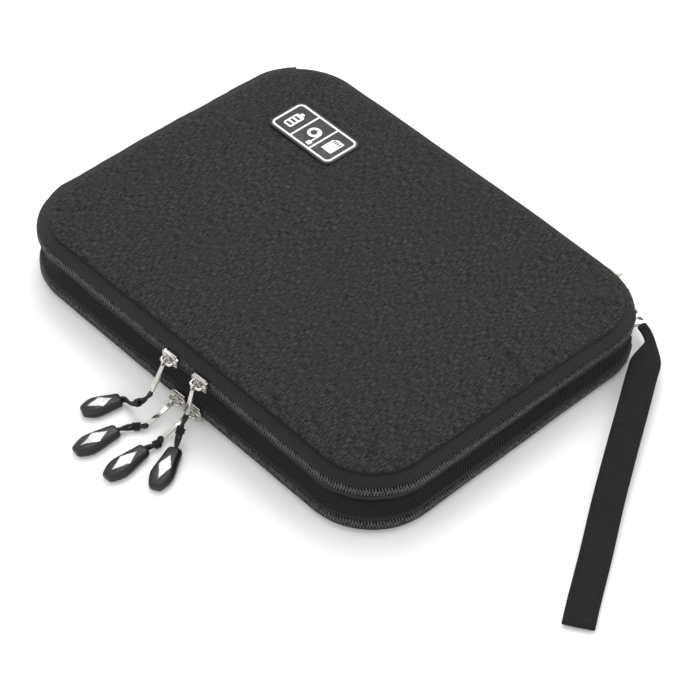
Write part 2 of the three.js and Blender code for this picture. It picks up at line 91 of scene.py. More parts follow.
class PouchSizes(bpy.types.PropertyGroup):
    length: FloatProperty(
        name="Length", description="Length over the zips", default=2 * COIL_HIGH[0],
        unit="LENGTH", subtype="DISTANCE")
    depth: FloatProperty(
        name="Depth", description="Depth from the slider side to the spine",
        default=-2 * COIL_LOW[1], unit="LENGTH", subtype="DISTANCE")
    corner: FloatProperty(
        name="Corner radius", description="Radius of the plan corners", default=34 * MM,
        unit="LENGTH", subtype="DISTANCE")
    taper: FloatProperty(
        name="Taper", description="How much thinner the spine is than the slider side",
        default=0.18, subtype="FACTOR", min=0, max=0.5)
    lower_zip: FloatProperty(
        name="Lower zip height", description="Height of the lower zip at the slider side",
        default=6 * MM, unit="LENGTH", subtype="DISTANCE")
    upper_zip: FloatProperty(
        name="Upper zip height", description="Height of the upper zip at the slider side",
        default=28 * MM, unit="LENGTH", subtype="DISTANCE")
    tooth_pitch: FloatProperty(
        name="Tooth pitch", description="Spacing of the zip coil turns", default=1.36 * MM,
        unit="LENGTH", subtype="DISTANCE")
    strand: FloatProperty(
        name="Cord strand", description="Thickness of one strand of a pull cord",
        default=1.5 * MM, unit="LENGTH", subtype="DISTANCE")
    strap_width: FloatProperty(
        name="Strap width", description="Width of the wrist strap webbing", default=14 * MM,
        unit="LENGTH", subtype="DISTANCE")
    webbing: FloatProperty(
        name="Webbing thickness", description="Thickness of one layer of the wrist strap",
        default=1.0 * MM, unit="LENGTH", subtype="DISTANCE")
    thread_pitch: FloatProperty(
        name="Thread pitch", description="Spacing of the threads in the cover cloth",
        default=0.55 * MM, unit="LENGTH", subtype="DISTANCE")


def colour(name, description, default):
    return FloatVectorProperty(
        name=name, description=description, default=default, size=3, subtype="COLOR",
        min=0, max=1)


class PouchColours(bpy.types.PropertyGroup):
    cover: colour("Cover cloth", "Middle tone of the melange cover", (0.0068, 0.0066, 0.0063))
    cover_fleck: colour("Cover fleck", "Light threads in the cover", (0.056, 0.054, 0.0515))
    cover_dark: colour("Cover shade", "Dark threads in the cover", (0.0030, 0.0029, 0.0028))
    gusset: colour("Gusset cloth", "Ribbed cloth beside the zips", (0.0070, 0.0069, 0.0067))
    lining: colour("Lining", "Smooth lining inside", (0.042, 0.042, 0.048))
    coil: colour("Zip coil", "Nylon of the zip coils", (0.0045, 0.0045, 0.0045))
    nickel: colour("Nickel", "Plated metal of sliders and fittings", (0.50, 0.485, 0.455))
    toggle: colour("Toggle", "Moulding of the pull toggles", (0.004, 0.004, 0.0042))
    cord: colour("Cord", "Pull cords and threads", (0.004, 0.004, 0.004))
    webbing: colour("Webbing", "Wrist strap and ring tab", (0.0060, 0.0058, 0.0055))
    rubber: colour("Label rubber", "Ground of the label", (0.0055, 0.0055, 0.0055))
    ink: colour("Label print", "Raised print of the label", (0.82, 0.82, 0.80))


class PouchStudio(bpy.types.PropertyGroup):
    floor: colour("Floor", "Tone of the studio floor", (0.93, 0.93, 0.93))
    sky: FloatProperty(name="Sky light", description="Strength of the even light", default=1.2)
    key: FloatProperty(name="Key light", description="Power of the large soft light",
                       default=7.0, unit="POWER")
    lens: FloatProperty(name="Lens", description="Focal length of the camera", default=134.8,
                        unit="CAMERA")


# ---- Plan outline ---------------------------------------------------------------------------

# Where the lid sinks most: share of the half length, share of the half depth, depth.
SOFT_CORNERS = ((-1.0, -1.0, 3.2 * MM), (1.0, 1.0, 2.2 * MM), (-1.0, 1.0, 1.8 * MM),
                (1.0, -0.95, 1.0 * MM))
SOFT_REACH = 52 * MM
COVER_SOFT_FROM = 8.5    # inset from which the cover must stay above the lining, in millimetres
STIFF_PLACE = Vector((4 * MM, -92 * MM))
STIFF_REACH = 46 * MM
# How the cloth wanders: waves per metre, seed and reach in millimetres.
WANDERS = ((19, 4.7, 1.1), (47, 9.1, 0.45))


class Outline:
    """The rounded plan outline, measured round it from the right end, counter-clockwise."""

    def __init__(self, sizes):
        self.half_length = sizes.length / 2
        self.half_depth = sizes.depth / 2
        self.corner = sizes.corner
        self.taper = sizes.taper
        self.depth = sizes.depth
        self.quarter = self.corner * math.pi / 2
        x, y = self.half_length - self.corner, self.half_depth - self.corner
        self.centres = ((x, y), (-x, y), (-x, -y), (x, -y))
        self.sides = (2 * x, 2 * y)
        self.around = 4 * self.quarter + 2 * sum(self.sides)
        self.spine_start = self.quarter * 4 / 9
        self.spine_end = self.quarter + self.sides[0] + self.quarter * 5 / 9

    def station(self, s):
        """The point on the outline at distance s, and its outward normal."""
        s %= self.around
        for k, (x, y) in enumerate(self.centres):
            first = k * math.pi / 2
            if s <= self.quarter:
                angle = first + s / self.corner
                normal = Vector((math.cos(angle), math.sin(angle), 0))
                return Vector((x, y, 0)) + normal * self.corner, normal
            s -= self.quarter
            normal = Vector((math.cos(first + math.pi / 2), math.sin(first + math.pi / 2), 0))
            side = self.sides[k % 2]
            if s <= side:
                along = Vector((-normal.y, normal.x, 0))
                return Vector((x, y, 0)) + normal * self.corner + along * s, normal
            s -= side
        return self.station(0)

    def wedge(self, y):
        return 1 - self.taper * (y + self.half_depth) / self.depth

    def settle(self, point):
        """Lets the soft corners sink and the cloth wander, but not where metal sits on it."""
        height = max(0.0, min(1.0, point.z / (37 * MM)))
        sink = sum(
            deep * math.exp(-((point.x - x * self.half_length) ** 2
                              + (point.y - y * self.half_depth) ** 2) / SOFT_REACH ** 2)
            for x, y, deep in SOFT_CORNERS)
        wander = sum(noise.noise(Vector((point.x * waves, point.y * waves, seed))) * reach * MM
                     for waves, seed, reach in WANDERS)
        gap = (point.xy - STIFF_PLACE).length / STIFF_REACH
        free = 1 - math.exp(-gap ** 2)
        moved = point.copy()
        moved.z += free * height * (wander - sink * height ** 0.4)
        return moved

    def place(self, s, inset, z):
        """The point at distance s round the outline, inset from it, at height z before taper."""
        point, normal = self.station(s)
        point = point - normal * inset
        point.z = z * self.wedge(point.y)
        return self.settle(point)


def steps(start, end, gap):
    count = max(1, round(abs(end - start) / gap))
    return [start + (end - start) * i / count for i in range(count + 1)]


def smooth(edge, value):
    """0 at zero and 1 at the edge, smoothly."""
    t = max(0.0, min(1.0, value / edge))
    return t * t * (3 - 2 * t)


# ---- Mesh making ----------------------------------------------------------------------------

class Shell:
    """Gathers the points, faces and cloth coordinates of one piece."""

    def __init__(self):
        self.points, self.faces, self.cloth = [], [], []

    def rings(self, rings, closed=False, caps=True, spacing=None):
        """Joins rings of the same number of points into a skin. closed joins the last ring
        to the first. Cloth coordinates run along the rings' places and round each ring."""
        start, n = len(self.points), len(rings[0])
        along = 0.0
        for r, ring in enumerate(rings):
            if r:
                along += (ring[0] - rings[r - 1][0]).length if spacing is None else spacing
            round_it = 0.0
            for k, point in enumerate(ring):
                if k:
                    round_it += (point - ring[k - 1]).length
                self.points.append(point)
                self.cloth.append((along, round_it))
        for r in range(len(rings) if closed else len(rings) - 1):
            a, b = start + r * n, start + ((r + 1) % len(rings)) * n
            for k in range(n):
                j = (k + 1) % n
                self.faces.append((a + k, a + j, b + j, b + k))
        if caps and not closed:
            self.faces.append(tuple(range(start + n - 1, start - 1, -1)))
            self.faces.append(tuple(range(start + (len(rings) - 1) * n, start + len(rings) * n)))

    def tube(self, path, radius, sides=8, closed=False, up=UP, flat=1.0):
        """A round rod along a path. radius is a number or a list, one for each point."""
        radii = radius if isinstance(radius, (list, tuple)) else [radius] * len(path)
        rings, last = [], None
        for i, point in enumerate(path):
            before = path[i - 1] if i or closed else path[0]
            after = path[(i + 1) % len(path)] if i + 1 < len(path) or closed else path[-1]
            tangent = (after - before).normalized()
            side = last if last is not None else up.cross(tangent)
            side = side - tangent * side.dot(tangent)
            if side.length < 1e-6:
                side = Vector((1, 0, 0)).cross(tangent)
            side.normalize()
            last = side
            top = tangent.cross(side)
            rings.append([
                point + side * (radii[i] * math.cos(2 * math.pi * k / sides))
                + top * (radii[i] * flat * math.sin(2 * math.pi * k / sides))
                for k in range(sides)])
        self.rings(rings, closed=closed)

    def plate(self, outline, low, high, bevel=0.0, frame=None):
        """A flat plate from a counter-clockwise outline of (x, y), with bevelled edges."""
        centre = Vector((sum(p[0] for p in outline), sum(p[1] for p in outline))) / len(outline)
        frame = frame or Matrix.Identity(4)

        def ring(shrink, z):
            placed = []
            for p in outline:
                arm = Vector(p) - centre
                arm *= max(0.0, 1 - shrink / max(arm.length, 1e-6))
                placed.append(frame @ Vector((centre.x + arm.x, centre.y + arm.y, z)))
            return placed
        if bevel:
            levels = [(bevel, low), (bevel * 0.3, low + bevel * 0.3), (0, low + bevel),
                      (0, high - bevel), (bevel * 0.3, high - bevel * 0.3), (bevel, high)]
        else:
            levels = [(0, low), (0, high)]
        self.rings([ring(*level) for level in levels])

    def piece(self, name, body, material, slot=None, stands_for=(), flat_faces=False):
        """Makes the object and gives it its body and material. The slot is not used."""
        mesh = bpy.data.meshes.new(name)
        mesh.from_pydata([tuple(p) for p in self.points], [], self.faces)
        cloth = mesh.uv_layers.new(name="cloth")
        for loop in mesh.loops:
            cloth.data[loop.index].uv = self.cloth[loop.vertex_index]
        solid = bmesh.new()
        solid.from_mesh(mesh)
        bmesh.ops.recalc_face_normals(solid, faces=solid.faces)
        for face in solid.faces:
            face.smooth = not flat_faces
        solid.to_mesh(mesh)
        solid.free()
        mesh.materials.append(material)
        made = bpy.data.objects.new(name, mesh)
        bpy.context.scene.collection.objects.link(made)
        settle_piece(made, body, stands_for)
        return made


def settle_piece(made, body, stands_for=()):
    if stands_for:
        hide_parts(*stands_for)
    if body:
        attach(made, body)


def sharpen(made, degrees=35):
    """Keeps the edges of hard pieces crisp."""
    made.data.set_sharp_from_angle(angle=math.radians(degrees))


def bevel_edges(made, width, segments, degrees):
    edges = made.modifiers.new("Softened edges", "BEVEL")
    edges.width = width
    edges.segments = segments
    edges.limit_method = "ANGLE"
    edges.angle_limit = math.radians(degrees)
    return edges


def soften(made, width):
    """Rounds the edges of a hard piece."""
    sharpen(made)
    bevel_edges(made, width, 2, 24)


def spline(points, count):
    """count + 1 even points on a smooth curve through the given ones."""
    knots = [Vector(p) for p in points]
    fine = []
    for i in range(len(knots) - 1):
        a = knots[i - 1] if i else knots[0] * 2 - knots[1]
        b, c = knots[i], knots[i + 1]
        d = knots[i + 2] if i + 2 < len(knots) else knots[-1] * 2 - knots[-2]
        for k in range(16):
            t = k / 16
            fine.append(0.5 * ((2 * b) + (c - a) * t + (2 * a - 5 * b + 4 * c - d) * t ** 2
                               + (3 * b - a - 3 * c + d) * t ** 3))
    fine.append(knots[-1])
    lengths = [0.0]
    for i in range(1, len(fine)):
        lengths.append(lengths[-1] + (fine[i] - fine[i - 1]).length)
    even, j = [], 0
    for i in range(count + 1):
        want = lengths[-1] * i / count
        while j + 2 < len(fine) and lengths[j + 1] < want:
            j += 1
        span = max(lengths[j + 1] - lengths[j], 1e-9)
        even.append(fine[j].lerp(fine[j + 1], min(1.0, max(0.0, (want - lengths[j]) / span))))
    return even


def path_length(points):
    return sum((b - a).length for a, b in zip(points, points[1:]))


# ---- Effects shared between materials -------------------------------------------------------

def effect(name, inputs, outputs):
    """A new node group with named sockets, and its inner input and output nodes."""
    group = bpy.data.node_groups.new(name, "ShaderNodeTree")
    for label, kind, default in inputs:
        socket = group.interface.new_socket(name=label, in_out="INPUT", socket_type=kind)
        if default is not None:
            socket.default_value = default
    for label, kind in outputs:
        group.interface.new_socket(name=label, in_out="OUTPUT", socket_type=kind)
    entry = group.nodes.new("NodeGroupInput")
    leave = group.nodes.new("NodeGroupOutput")
    return group, entry, leave


class Nodes:
    """Short ways to add nodes to one tree and join them."""

    def __init__(self, tree):
        self.tree = tree

    def add(self, kind, **settings):
        node = self.tree.nodes.new(kind)
        for key, value in settings.items():
            setattr(node, key, value)
        return node

    def join(self, source, target):
        self.tree.links.new(source, target)

    def math(self, operation, first, second=None, clamp=False):
        node = self.add("ShaderNodeMath", operation=operation, use_clamp=clamp)
        for socket, value in zip(node.inputs, (first, second)):
            if value is None:
                continue
            if isinstance(value, (int, float)):
                socket.default_value = value
            else:
                self.join(value, socket)
        return node.outputs[0]

    def ramp(self, value, low, high):
        """0 below low and 1 above high."""
        node = self.add("ShaderNodeMapRange", interpolation_type="SMOOTHSTEP")
        node.inputs["From Min"].default_value = low
        node.inputs["From Max"].default_value = high
        self.join(value, node.inputs["Value"])
        return node.outputs["Result"]

    def noise(self, vector, scale, detail=2.0, roughness=0.5):
        node = self.add("ShaderNodeTexNoise", noise_dimensions="3D")
        node.inputs["Scale"].default_value = scale
        node.inputs["Detail"].default_value = detail
        node.inputs["Roughness"].default_value = roughness
        self.join(vector, node.inputs["Vector"])
        return node.outputs["Fac"]

    def mix(self, share, first, second):
        node = self.add("ShaderNodeMix", data_type="RGBA")
        self.join(share, node.inputs["Factor"])
        for socket, value in ((node.inputs[6], first), (node.inputs[7], second)):
            if hasattr(value, "is_linked"):
                self.join(value, socket)
            else:
                socket.default_value = (*value, 1)
        return node.outputs[2]

    def stretched(self, vector, along, across):
        """The cloth coordinates scaled differently along and across the threads."""
        apart = self.add("ShaderNodeSeparateXYZ")
        self.join(vector, apart.inputs[0])
        back = self.add("ShaderNodeCombineXYZ")
        self.join(self.math("MULTIPLY", apart.outputs[0], along), back.inputs[0])
        self.join(self.math("MULTIPLY", apart.outputs[1], across), back.inputs[1])
        return back.outputs[0]


def woven_cloth():
    """Crossing threads: their height, and the light and dark threads among them."""
    group, entry, leave = effect(
        "Woven Cloth",
        [("Cloth", "NodeSocketVector", None), ("Pitch", "NodeSocketFloat", 0.00055)],
        [("Height", "NodeSocketFloat"), ("Light", "NodeSocketFloat"),
         ("Dark", "NodeSocketFloat")])
    n = Nodes(group)
    apart = n.add("ShaderNodeSeparateXYZ")
    n.join(entry.outputs["Cloth"], apart.inputs[0])
    turns = n.math("DIVIDE", 2 * math.pi, entry.outputs["Pitch"])
    warp = n.math("SINE", n.math("MULTIPLY", apart.outputs[0], turns))
    weft = n.math("SINE", n.math("MULTIPLY", apart.outputs[1], turns))
    n.join(n.math("MULTIPLY_ADD", n.math("MULTIPLY", warp, weft), 0.5), leave.inputs["Height"])
    warp_marks = n.noise(n.stretched(entry.outputs["Cloth"], 1.0, 0.11), 3000, 2.0)
    weft_marks = n.noise(n.stretched(entry.outputs["Cloth"], 0.11, 1.0), 3000, 2.0)
    either = n.math("MAXIMUM", n.ramp(warp_marks, 0.45, 0.68), n.math(
        "MULTIPLY", n.ramp(weft_marks, 0.47, 0.70), 0.7))
    n.join(either, leave.inputs["Light"])
    low = n.math("MINIMUM", warp_marks, weft_marks)
    n.join(n.math("SUBTRACT", 1.0, n.ramp(low, 0.30, 0.52)), leave.inputs["Dark"])
    return group


def ribbed_cloth():
    """Fine slanting ribs, as in twill tape and gusset cloth."""
    group, entry, leave = effect(
        "Ribbed Cloth",
        [("Cloth", "NodeSocketVector", None), ("Pitch", "NodeSocketFloat", 0.0007),
         ("Slant", "NodeSocketFloat", 1.0)],
        [("Height", "NodeSocketFloat"), ("Light", "NodeSocketFloat")])
    n = Nodes(group)
    apart = n.add("ShaderNodeSeparateXYZ")
    n.join(entry.outputs["Cloth"], apart.inputs[0])
    slanted = n.math("ADD", apart.outputs[0],
                     n.math("MULTIPLY", apart.outputs[1], entry.outputs["Slant"]))
    turns = n.math("DIVIDE", 2 * math.pi, entry.outputs["Pitch"])
    n.join(n.math("SINE", n.math("MULTIPLY", slanted, turns)), leave.inputs["Height"])
    marks = n.noise(n.stretched(entry.outputs["Cloth"], 1.0, 0.3), 1300, 2.0)
    n.join(n.ramp(marks, 0.48, 0.74), leave.inputs["Light"])
    return group


def cloth_wear():
    """Soft uneven tone over a hand's breadth, and a few specks of lint."""
    group, entry, leave = effect(
        "Cloth Wear", [("Place", "NodeSocketVector", None)],
        [("Tone", "NodeSocketFloat"), ("Lint", "NodeSocketFloat")])
    n = Nodes(group)
    n.join(n.ramp(n.noise(entry.outputs["Place"], 16, 4.0, 0.6), 0.3, 0.7),
           leave.inputs["Tone"])
    n.join(n.ramp(n.noise(entry.outputs["Place"], 950, 1.0), 0.73, 0.80),
           leave.inputs["Lint"])
    return group


def surface_grain():
    """Fine grain for mouldings and plating: a height and a change of roughness."""
    group, entry, leave = effect(
        "Surface Grain",
        [("Place", "NodeSocketVector", None), ("Scale", "NodeSocketFloat", 900.0)],
        [("Height", "NodeSocketFloat"), ("Smear", "NodeSocketFloat")])
    n = Nodes(group)
    fine = n.add("ShaderNodeTexNoise")
    fine.inputs["Detail"].default_value = 3
    n.join(entry.outputs["Place"], fine.inputs["Vector"])
    n.join(entry.outputs["Scale"], fine.inputs["Scale"])
    n.join(fine.outputs["Fac"], leave.inputs["Height"])
    n.join(n.ramp(n.noise(entry.outputs["Place"], 210, 4.0, 0.65), 0.35, 0.7),
           leave.inputs["Smear"])
    return group


def edge_wear_and_glint():
    """Where edges stand out, for rubbed plating and mouldings, and for a painted highlight on the
    zip coil.
    """
    group, entry, leave = effect(
        "Edge Wear And Glint", [("Place", "NodeSocketVector", None)], [("Edge", "NodeSocketFloat")])
    n = Nodes(group)
    shape = n.add("ShaderNodeNewGeometry")
    edge = n.ramp(shape.outputs["Pointiness"], 0.52, 0.60)
    broken = n.ramp(n.noise(entry.outputs["Place"], 700, 3.0), 0.35, 0.6)
    n.join(n.math("MULTIPLY", edge, broken), leave.inputs["Edge"])
    return group


EFFECTS = {"weave": woven_cloth, "rib": ribbed_cloth, "wear": cloth_wear,
           "grain": surface_grain, "edge": edge_wear_and_glint}
_made_effects = {}
_made_materials = {}


def shared(name):
    if name not in _made_effects:
        _made_effects[name] = EFFECTS[name]()
    return _made_effects[name]


# ---- Materials ------------------------------------------------------------------------------

class Finish:
    """A material being mixed: its nodes, its shader, and the coordinates it uses."""

    def __init__(self, name, **constants):
        self.material = bpy.data.materials.new(name)
        self.material.use_nodes = True
        self.material.node_tree.nodes.clear()
        self.n = Nodes(self.material.node_tree)
        self.shader = self.n.add("ShaderNodeBsdfPrincipled")
        end = self.n.add("ShaderNodeOutputMaterial")
        self.n.join(self.shader.outputs[0], end.inputs["Surface"])
        for label, value in constants.items():
            self.shader.inputs[label.replace("_", " ")].default_value = value
        self.place = self.n.add("ShaderNodeTexCoord").outputs["Object"]
        self.cloth = self.n.add("ShaderNodeUVMap", uv_map="cloth").outputs["UV"]

    def use(self, effect_name, vector, **values):
        node = self.n.add("ShaderNodeGroup", node_tree=shared(effect_name))
        self.n.join(vector, node.inputs[0])
        for label, value in values.items():
            node.inputs[label].default_value = value
        return node.outputs

    def feed(self, label, source):
        self.n.join(source, self.shader.inputs[label])

    def bump(self, height, strength, distance):
        node = self.n.add("ShaderNodeBump")
        node.inputs["Strength"].default_value = strength
        node.inputs["Distance"].default_value = distance
        self.n.join(height, node.inputs["Height"])
        self.feed("Normal", node.outputs["Normal"])


def tint(rgb, factor):
    return tuple(min(1.0, c * factor) for c in rgb)


def cover_cloth(colours, sizes):
    f = Finish("Cover Oxford", Roughness=0.92, Specular_IOR_Level=0.16, Sheen_Weight=0.02,
               Sheen_Roughness=0.5)
    weave = f.use("weave", f.cloth, Pitch=sizes.thread_pitch)
    wear = f.use("wear", f.place)
    dark = f.n.mix(weave["Dark"], tuple(colours.cover), tuple(colours.cover_dark))
    flecked = f.n.mix(weave["Light"], dark, tuple(colours.cover_fleck))
    toned = f.n.mix(f.n.math("MULTIPLY", wear["Tone"], 0.16), flecked, tint(colours.cover, 1.7))
    f.feed("Base Color", f.n.mix(f.n.math("MULTIPLY", wear["Lint"], 0.35), toned,
                                 tint(colours.cover_fleck, 1.8)))
    f.bump(weave["Height"], 0.35, 0.00018)
    return f.material


def gusset_cloth(colours, sizes):
    f = Finish("Gusset Twill", Roughness=0.7, Specular_IOR_Level=0.3, Sheen_Weight=0.02,
               Sheen_Roughness=0.5)
    rib = f.use("rib", f.cloth, Pitch=0.0015, Slant=0.9)
    wear = f.use("wear", f.place)
    flecked = f.n.mix(f.n.math("MULTIPLY", rib["Light"], 0.6), tuple(colours.gusset),
                      tint(colours.gusset, 2.6))
    # Painted shade: the gusset colour is darkened in the hollows between the ribs, following the
    # ribs' height.
    rib_shaded = f.n.mix(f.n.ramp(rib["Height"], -0.6, 0.9), tint(colours.gusset, 0.45), flecked)
    f.feed("Base Color", f.n.mix(f.n.math("MULTIPLY", wear["Tone"], 0.25), rib_shaded,
                                 tint(colours.gusset, 0.6)))
    f.bump(rib["Height"], 0.7, 0.0004)
    return f.material


def lining_cloth(colours, sizes):
    f = Finish("Lining Taffeta", Roughness=0.62, Sheen_Weight=0.2, Sheen_Roughness=0.35)
    weave = f.use("weave", f.cloth, Pitch=0.0009)
    wear = f.use("wear", f.place)
    f.feed("Base Color", f.n.mix(f.n.math("MULTIPLY", wear["Tone"], 0.35),
                                 tuple(colours.lining), tint(colours.lining, 0.6)))
    f.bump(weave["Height"], 0.2, 0.0001)
    return f.material


def pocket_mesh_cloth(colours, sizes):
    """Open knitted mesh: round holes in rows, see-through between the threads."""
    f = Finish("Pocket Mesh", Roughness=0.75)
    apart = f.n.add("ShaderNodeSeparateXYZ")
    f.n.join(f.place, apart.inputs[0])
    turns = 2 * math.pi / 0.0026
    holes = f.n.math("MULTIPLY",
                     f.n.math("SINE", f.n.math("MULTIPLY", apart.outputs[0], turns)),
                     f.n.math("SINE", f.n.math("MULTIPLY", apart.outputs[1], turns)))
    solid = f.n.math("SUBTRACT", 1.0, f.n.ramp(f.n.math("ABSOLUTE", holes), 0.42, 0.55))
    f.feed("Alpha", solid)
    wear = f.use("wear", f.place)
    f.feed("Base Color", f.n.mix(wear["Tone"], (0.018, 0.018, 0.02), (0.034, 0.034, 0.037)))
    f.bump(holes, 0.3, 0.0003)
    return f.material


def zip_nylon(colours, sizes):
    f = Finish("Zip Nylon", Roughness=0.25, Specular_IOR_Level=0.5)
    grain = f.use("grain", f.place, Scale=1400.0)
    edge = f.use("edge", f.place)
    # The coil's standing edges are lightened: partly rubbed nylon, partly a painted highlight.
    f.feed("Base Color", f.n.mix(edge["Edge"], tuple(colours.coil), tint(colours.coil, 11)))
    f.feed("Roughness", f.n.math("MULTIPLY_ADD", grain["Smear"], 0.14))
    f.bump(grain["Height"], 0.05, 0.00008)
    return f.material


def zip_tape(colours, sizes):
    f = Finish("Zip Tape", Roughness=0.86, Specular_IOR_Level=0.2)
    rib = f.use("rib", f.cloth, Pitch=0.0011, Slant=0.0)
    wear = f.use("wear", f.place)
    light = f.n.mix(f.n.math("MULTIPLY", rib["Light"], 0.5), tuple(colours.coil),
                    tint(colours.gusset, 1.6))
    f.feed("Base Color", f.n.mix(f.n.math("MULTIPLY", wear["Tone"], 0.3), light,
                                 tint(colours.coil, 0.8)))
    f.bump(rib["Height"], 0.4, 0.0002)
    return f.material


def plated_nickel(colours, sizes):
    f = Finish("Bright Nickel", Metallic=1.0, Roughness=0.2)
    grain = f.use("grain", f.place, Scale=1800.0)
    edge = f.use("edge", f.place)
    f.feed("Base Color", f.n.mix(edge["Edge"], tuple(colours.nickel), tint(colours.nickel, 1.15)))
    rough = f.n.math("MULTIPLY_ADD", grain["Smear"], 0.16)
    rough.node.inputs[2].default_value = 0.11
    f.feed("Roughness", rough)
    f.bump(grain["Height"], 0.04, 0.00005)
    return f.material


def toggle_satin(colours, sizes):
    f = Finish("Toggle Satin", Roughness=0.3, Specular_IOR_Level=0.42)
    grain = f.use("grain", f.place, Scale=2600.0)
    edge = f.use("edge", f.place)
    f.feed("Base Color", f.n.mix(edge["Edge"], tuple(colours.toggle), tint(colours.toggle, 3.2)))
    rough = f.n.math("MULTIPLY_ADD", grain["Smear"], 0.16)
    rough.node.inputs[2].default_value = 0.34
    f.feed("Roughness", rough)
    f.bump(grain["Height"], 0.12, 0.00006)
    return f.material


def toggle_facet(colours, sizes):
    f = Finish("Toggle Gloss Facet", Metallic=0.75, Roughness=0.2)
    grain = f.use("grain", f.place, Scale=600.0)
    f.feed("Base Color", f.n.mix(grain["Smear"], (0.20, 0.20, 0.215), (0.56, 0.56, 0.58)))
    rough = f.n.math("MULTIPLY_ADD", grain["Smear"], 0.12)
    rough.node.inputs[2].default_value = 0.14
    f.feed("Roughness", rough)
    return f.material


def pull_cord_thread(colours, sizes):
    f = Finish("Pull Cord", Roughness=0.5, Specular_IOR_Level=0.35)
    rib = f.use("rib", f.cloth, Pitch=0.0011, Slant=0.7)
    f.feed("Base Color", f.n.mix(rib["Light"], tuple(colours.cord), tint(colours.cord, 3.0)))
    f.bump(rib["Height"], 0.7, 0.00035)
    return f.material


def strap_webbing(colours, sizes):
    f = Finish("Strap Webbing", Roughness=0.88, Specular_IOR_Level=0.22, Sheen_Weight=0.03)
    weave = f.use("weave", f.cloth, Pitch=0.00075)
    wear = f.use("wear", f.place)
    flecked = f.n.mix(f.n.math("MULTIPLY", weave["Light"], 0.55), tuple(colours.webbing),
                      tint(colours.webbing, 3.0))
    f.feed("Base Color", f.n.mix(f.n.math("MULTIPLY", wear["Tone"], 0.25), flecked,
                                 tint(colours.webbing, 1.6)))
    f.bump(weave["Height"], 0.5, 0.00025)
    return f.material


def ribbed_elastic(colours, sizes):
    f = Finish("Ribbed Elastic", Roughness=0.72, Sheen_Weight=0.12)
    rib = f.use("rib", f.cloth, Pitch=0.0014, Slant=0.0)
    f.feed("Base Color", f.n.mix(rib["Light"], (0.018, 0.018, 0.02), (0.06, 0.06, 0.064)))
    f.bump(rib["Height"], 0.6, 0.0003)
    return f.material


def label_rubber(colours, sizes):
    f = Finish("Label Rubber", Roughness=0.5)
    grain = f.use("grain", f.place, Scale=1500.0)
    edge = f.use("edge", f.place)
    f.feed("Base Color", f.n.mix(edge["Edge"], tuple(colours.rubber), tint(colours.rubber, 2.2)))
    rough = f.n.math("MULTIPLY_ADD", grain["Smear"], 0.2)
    rough.node.inputs[2].default_value = 0.4
    f.feed("Roughness", rough)
    f.bump(grain["Height"], 0.12, 0.00008)
    return f.material


def label_print(colours, sizes):
    f = Finish("Label White", Roughness=0.55)
    grain = f.use("grain", f.place, Scale=1500.0)
    f.feed("Base Color", f.n.mix(f.n.math("MULTIPLY", grain["Smear"], 0.5), tuple(colours.ink),
                                 tint(colours.ink, 0.86)))
    f.bump(grain["Height"], 0.08, 0.00006)
    return f.material


def studio_floor(colours, sizes):
    f = Finish("Studio Paper", Roughness=0.9)
    tone = tuple(bpy.context.scene.pouch_studio.floor)
    wear = f.use("wear", f.place)
    f.feed("Base Color", f.n.mix(f.n.math("MULTIPLY", wear["Tone"], 0.1), tone,
                                 tint(tone, 0.985)))
    return f.material


FINISHES = {
    "cover": cover_cloth, "gusset": gusset_cloth, "lining": lining_cloth,
    "pocket mesh": pocket_mesh_cloth, "coil": zip_nylon, "tape": zip_tape,
    "nickel": plated_nickel, "toggle": toggle_satin, "facet": toggle_facet,
    "cord": pull_cord_thread, "webbing": strap_webbing, "elastic": ribbed_elastic,
    "rubber": label_rubber, "print": label_print, "floor": studio_floor,
}


def finish(name):
    """The named material, mixed the first time that it is asked for."""
    if name not in _made_materials:
        scene = bpy.context.scene
        _made_materials[name] = FINISHES[name](scene.pouch_colours, scene.pouch_sizes)
    return _made_materials[name]


def coat_node(node, material_name, bevel=0.0):
    """Gives a CAD node that keeps its shape its finish and, if wanted, softened edges."""
    made = frame["nodes"][node]
    made.data.materials.clear()
    made.data.materials.append(finish(material_name))
    if bevel:
        bevel_edges(made, bevel, 3, 32)
        for face in made.data.polygons:
            face.use_smooth = False
    return made


# ---- Stage ----------------------------------------------------------------------------------

CAMERA_PLACE = Vector((585.6, -568.7, 833.2)) * MM
CAMERA_AZIMUTH = math.radians(45.58)
CAMERA_ELEVATION = math.radians(46.40)
CAMERA_ROLL = math.radians(1.54)


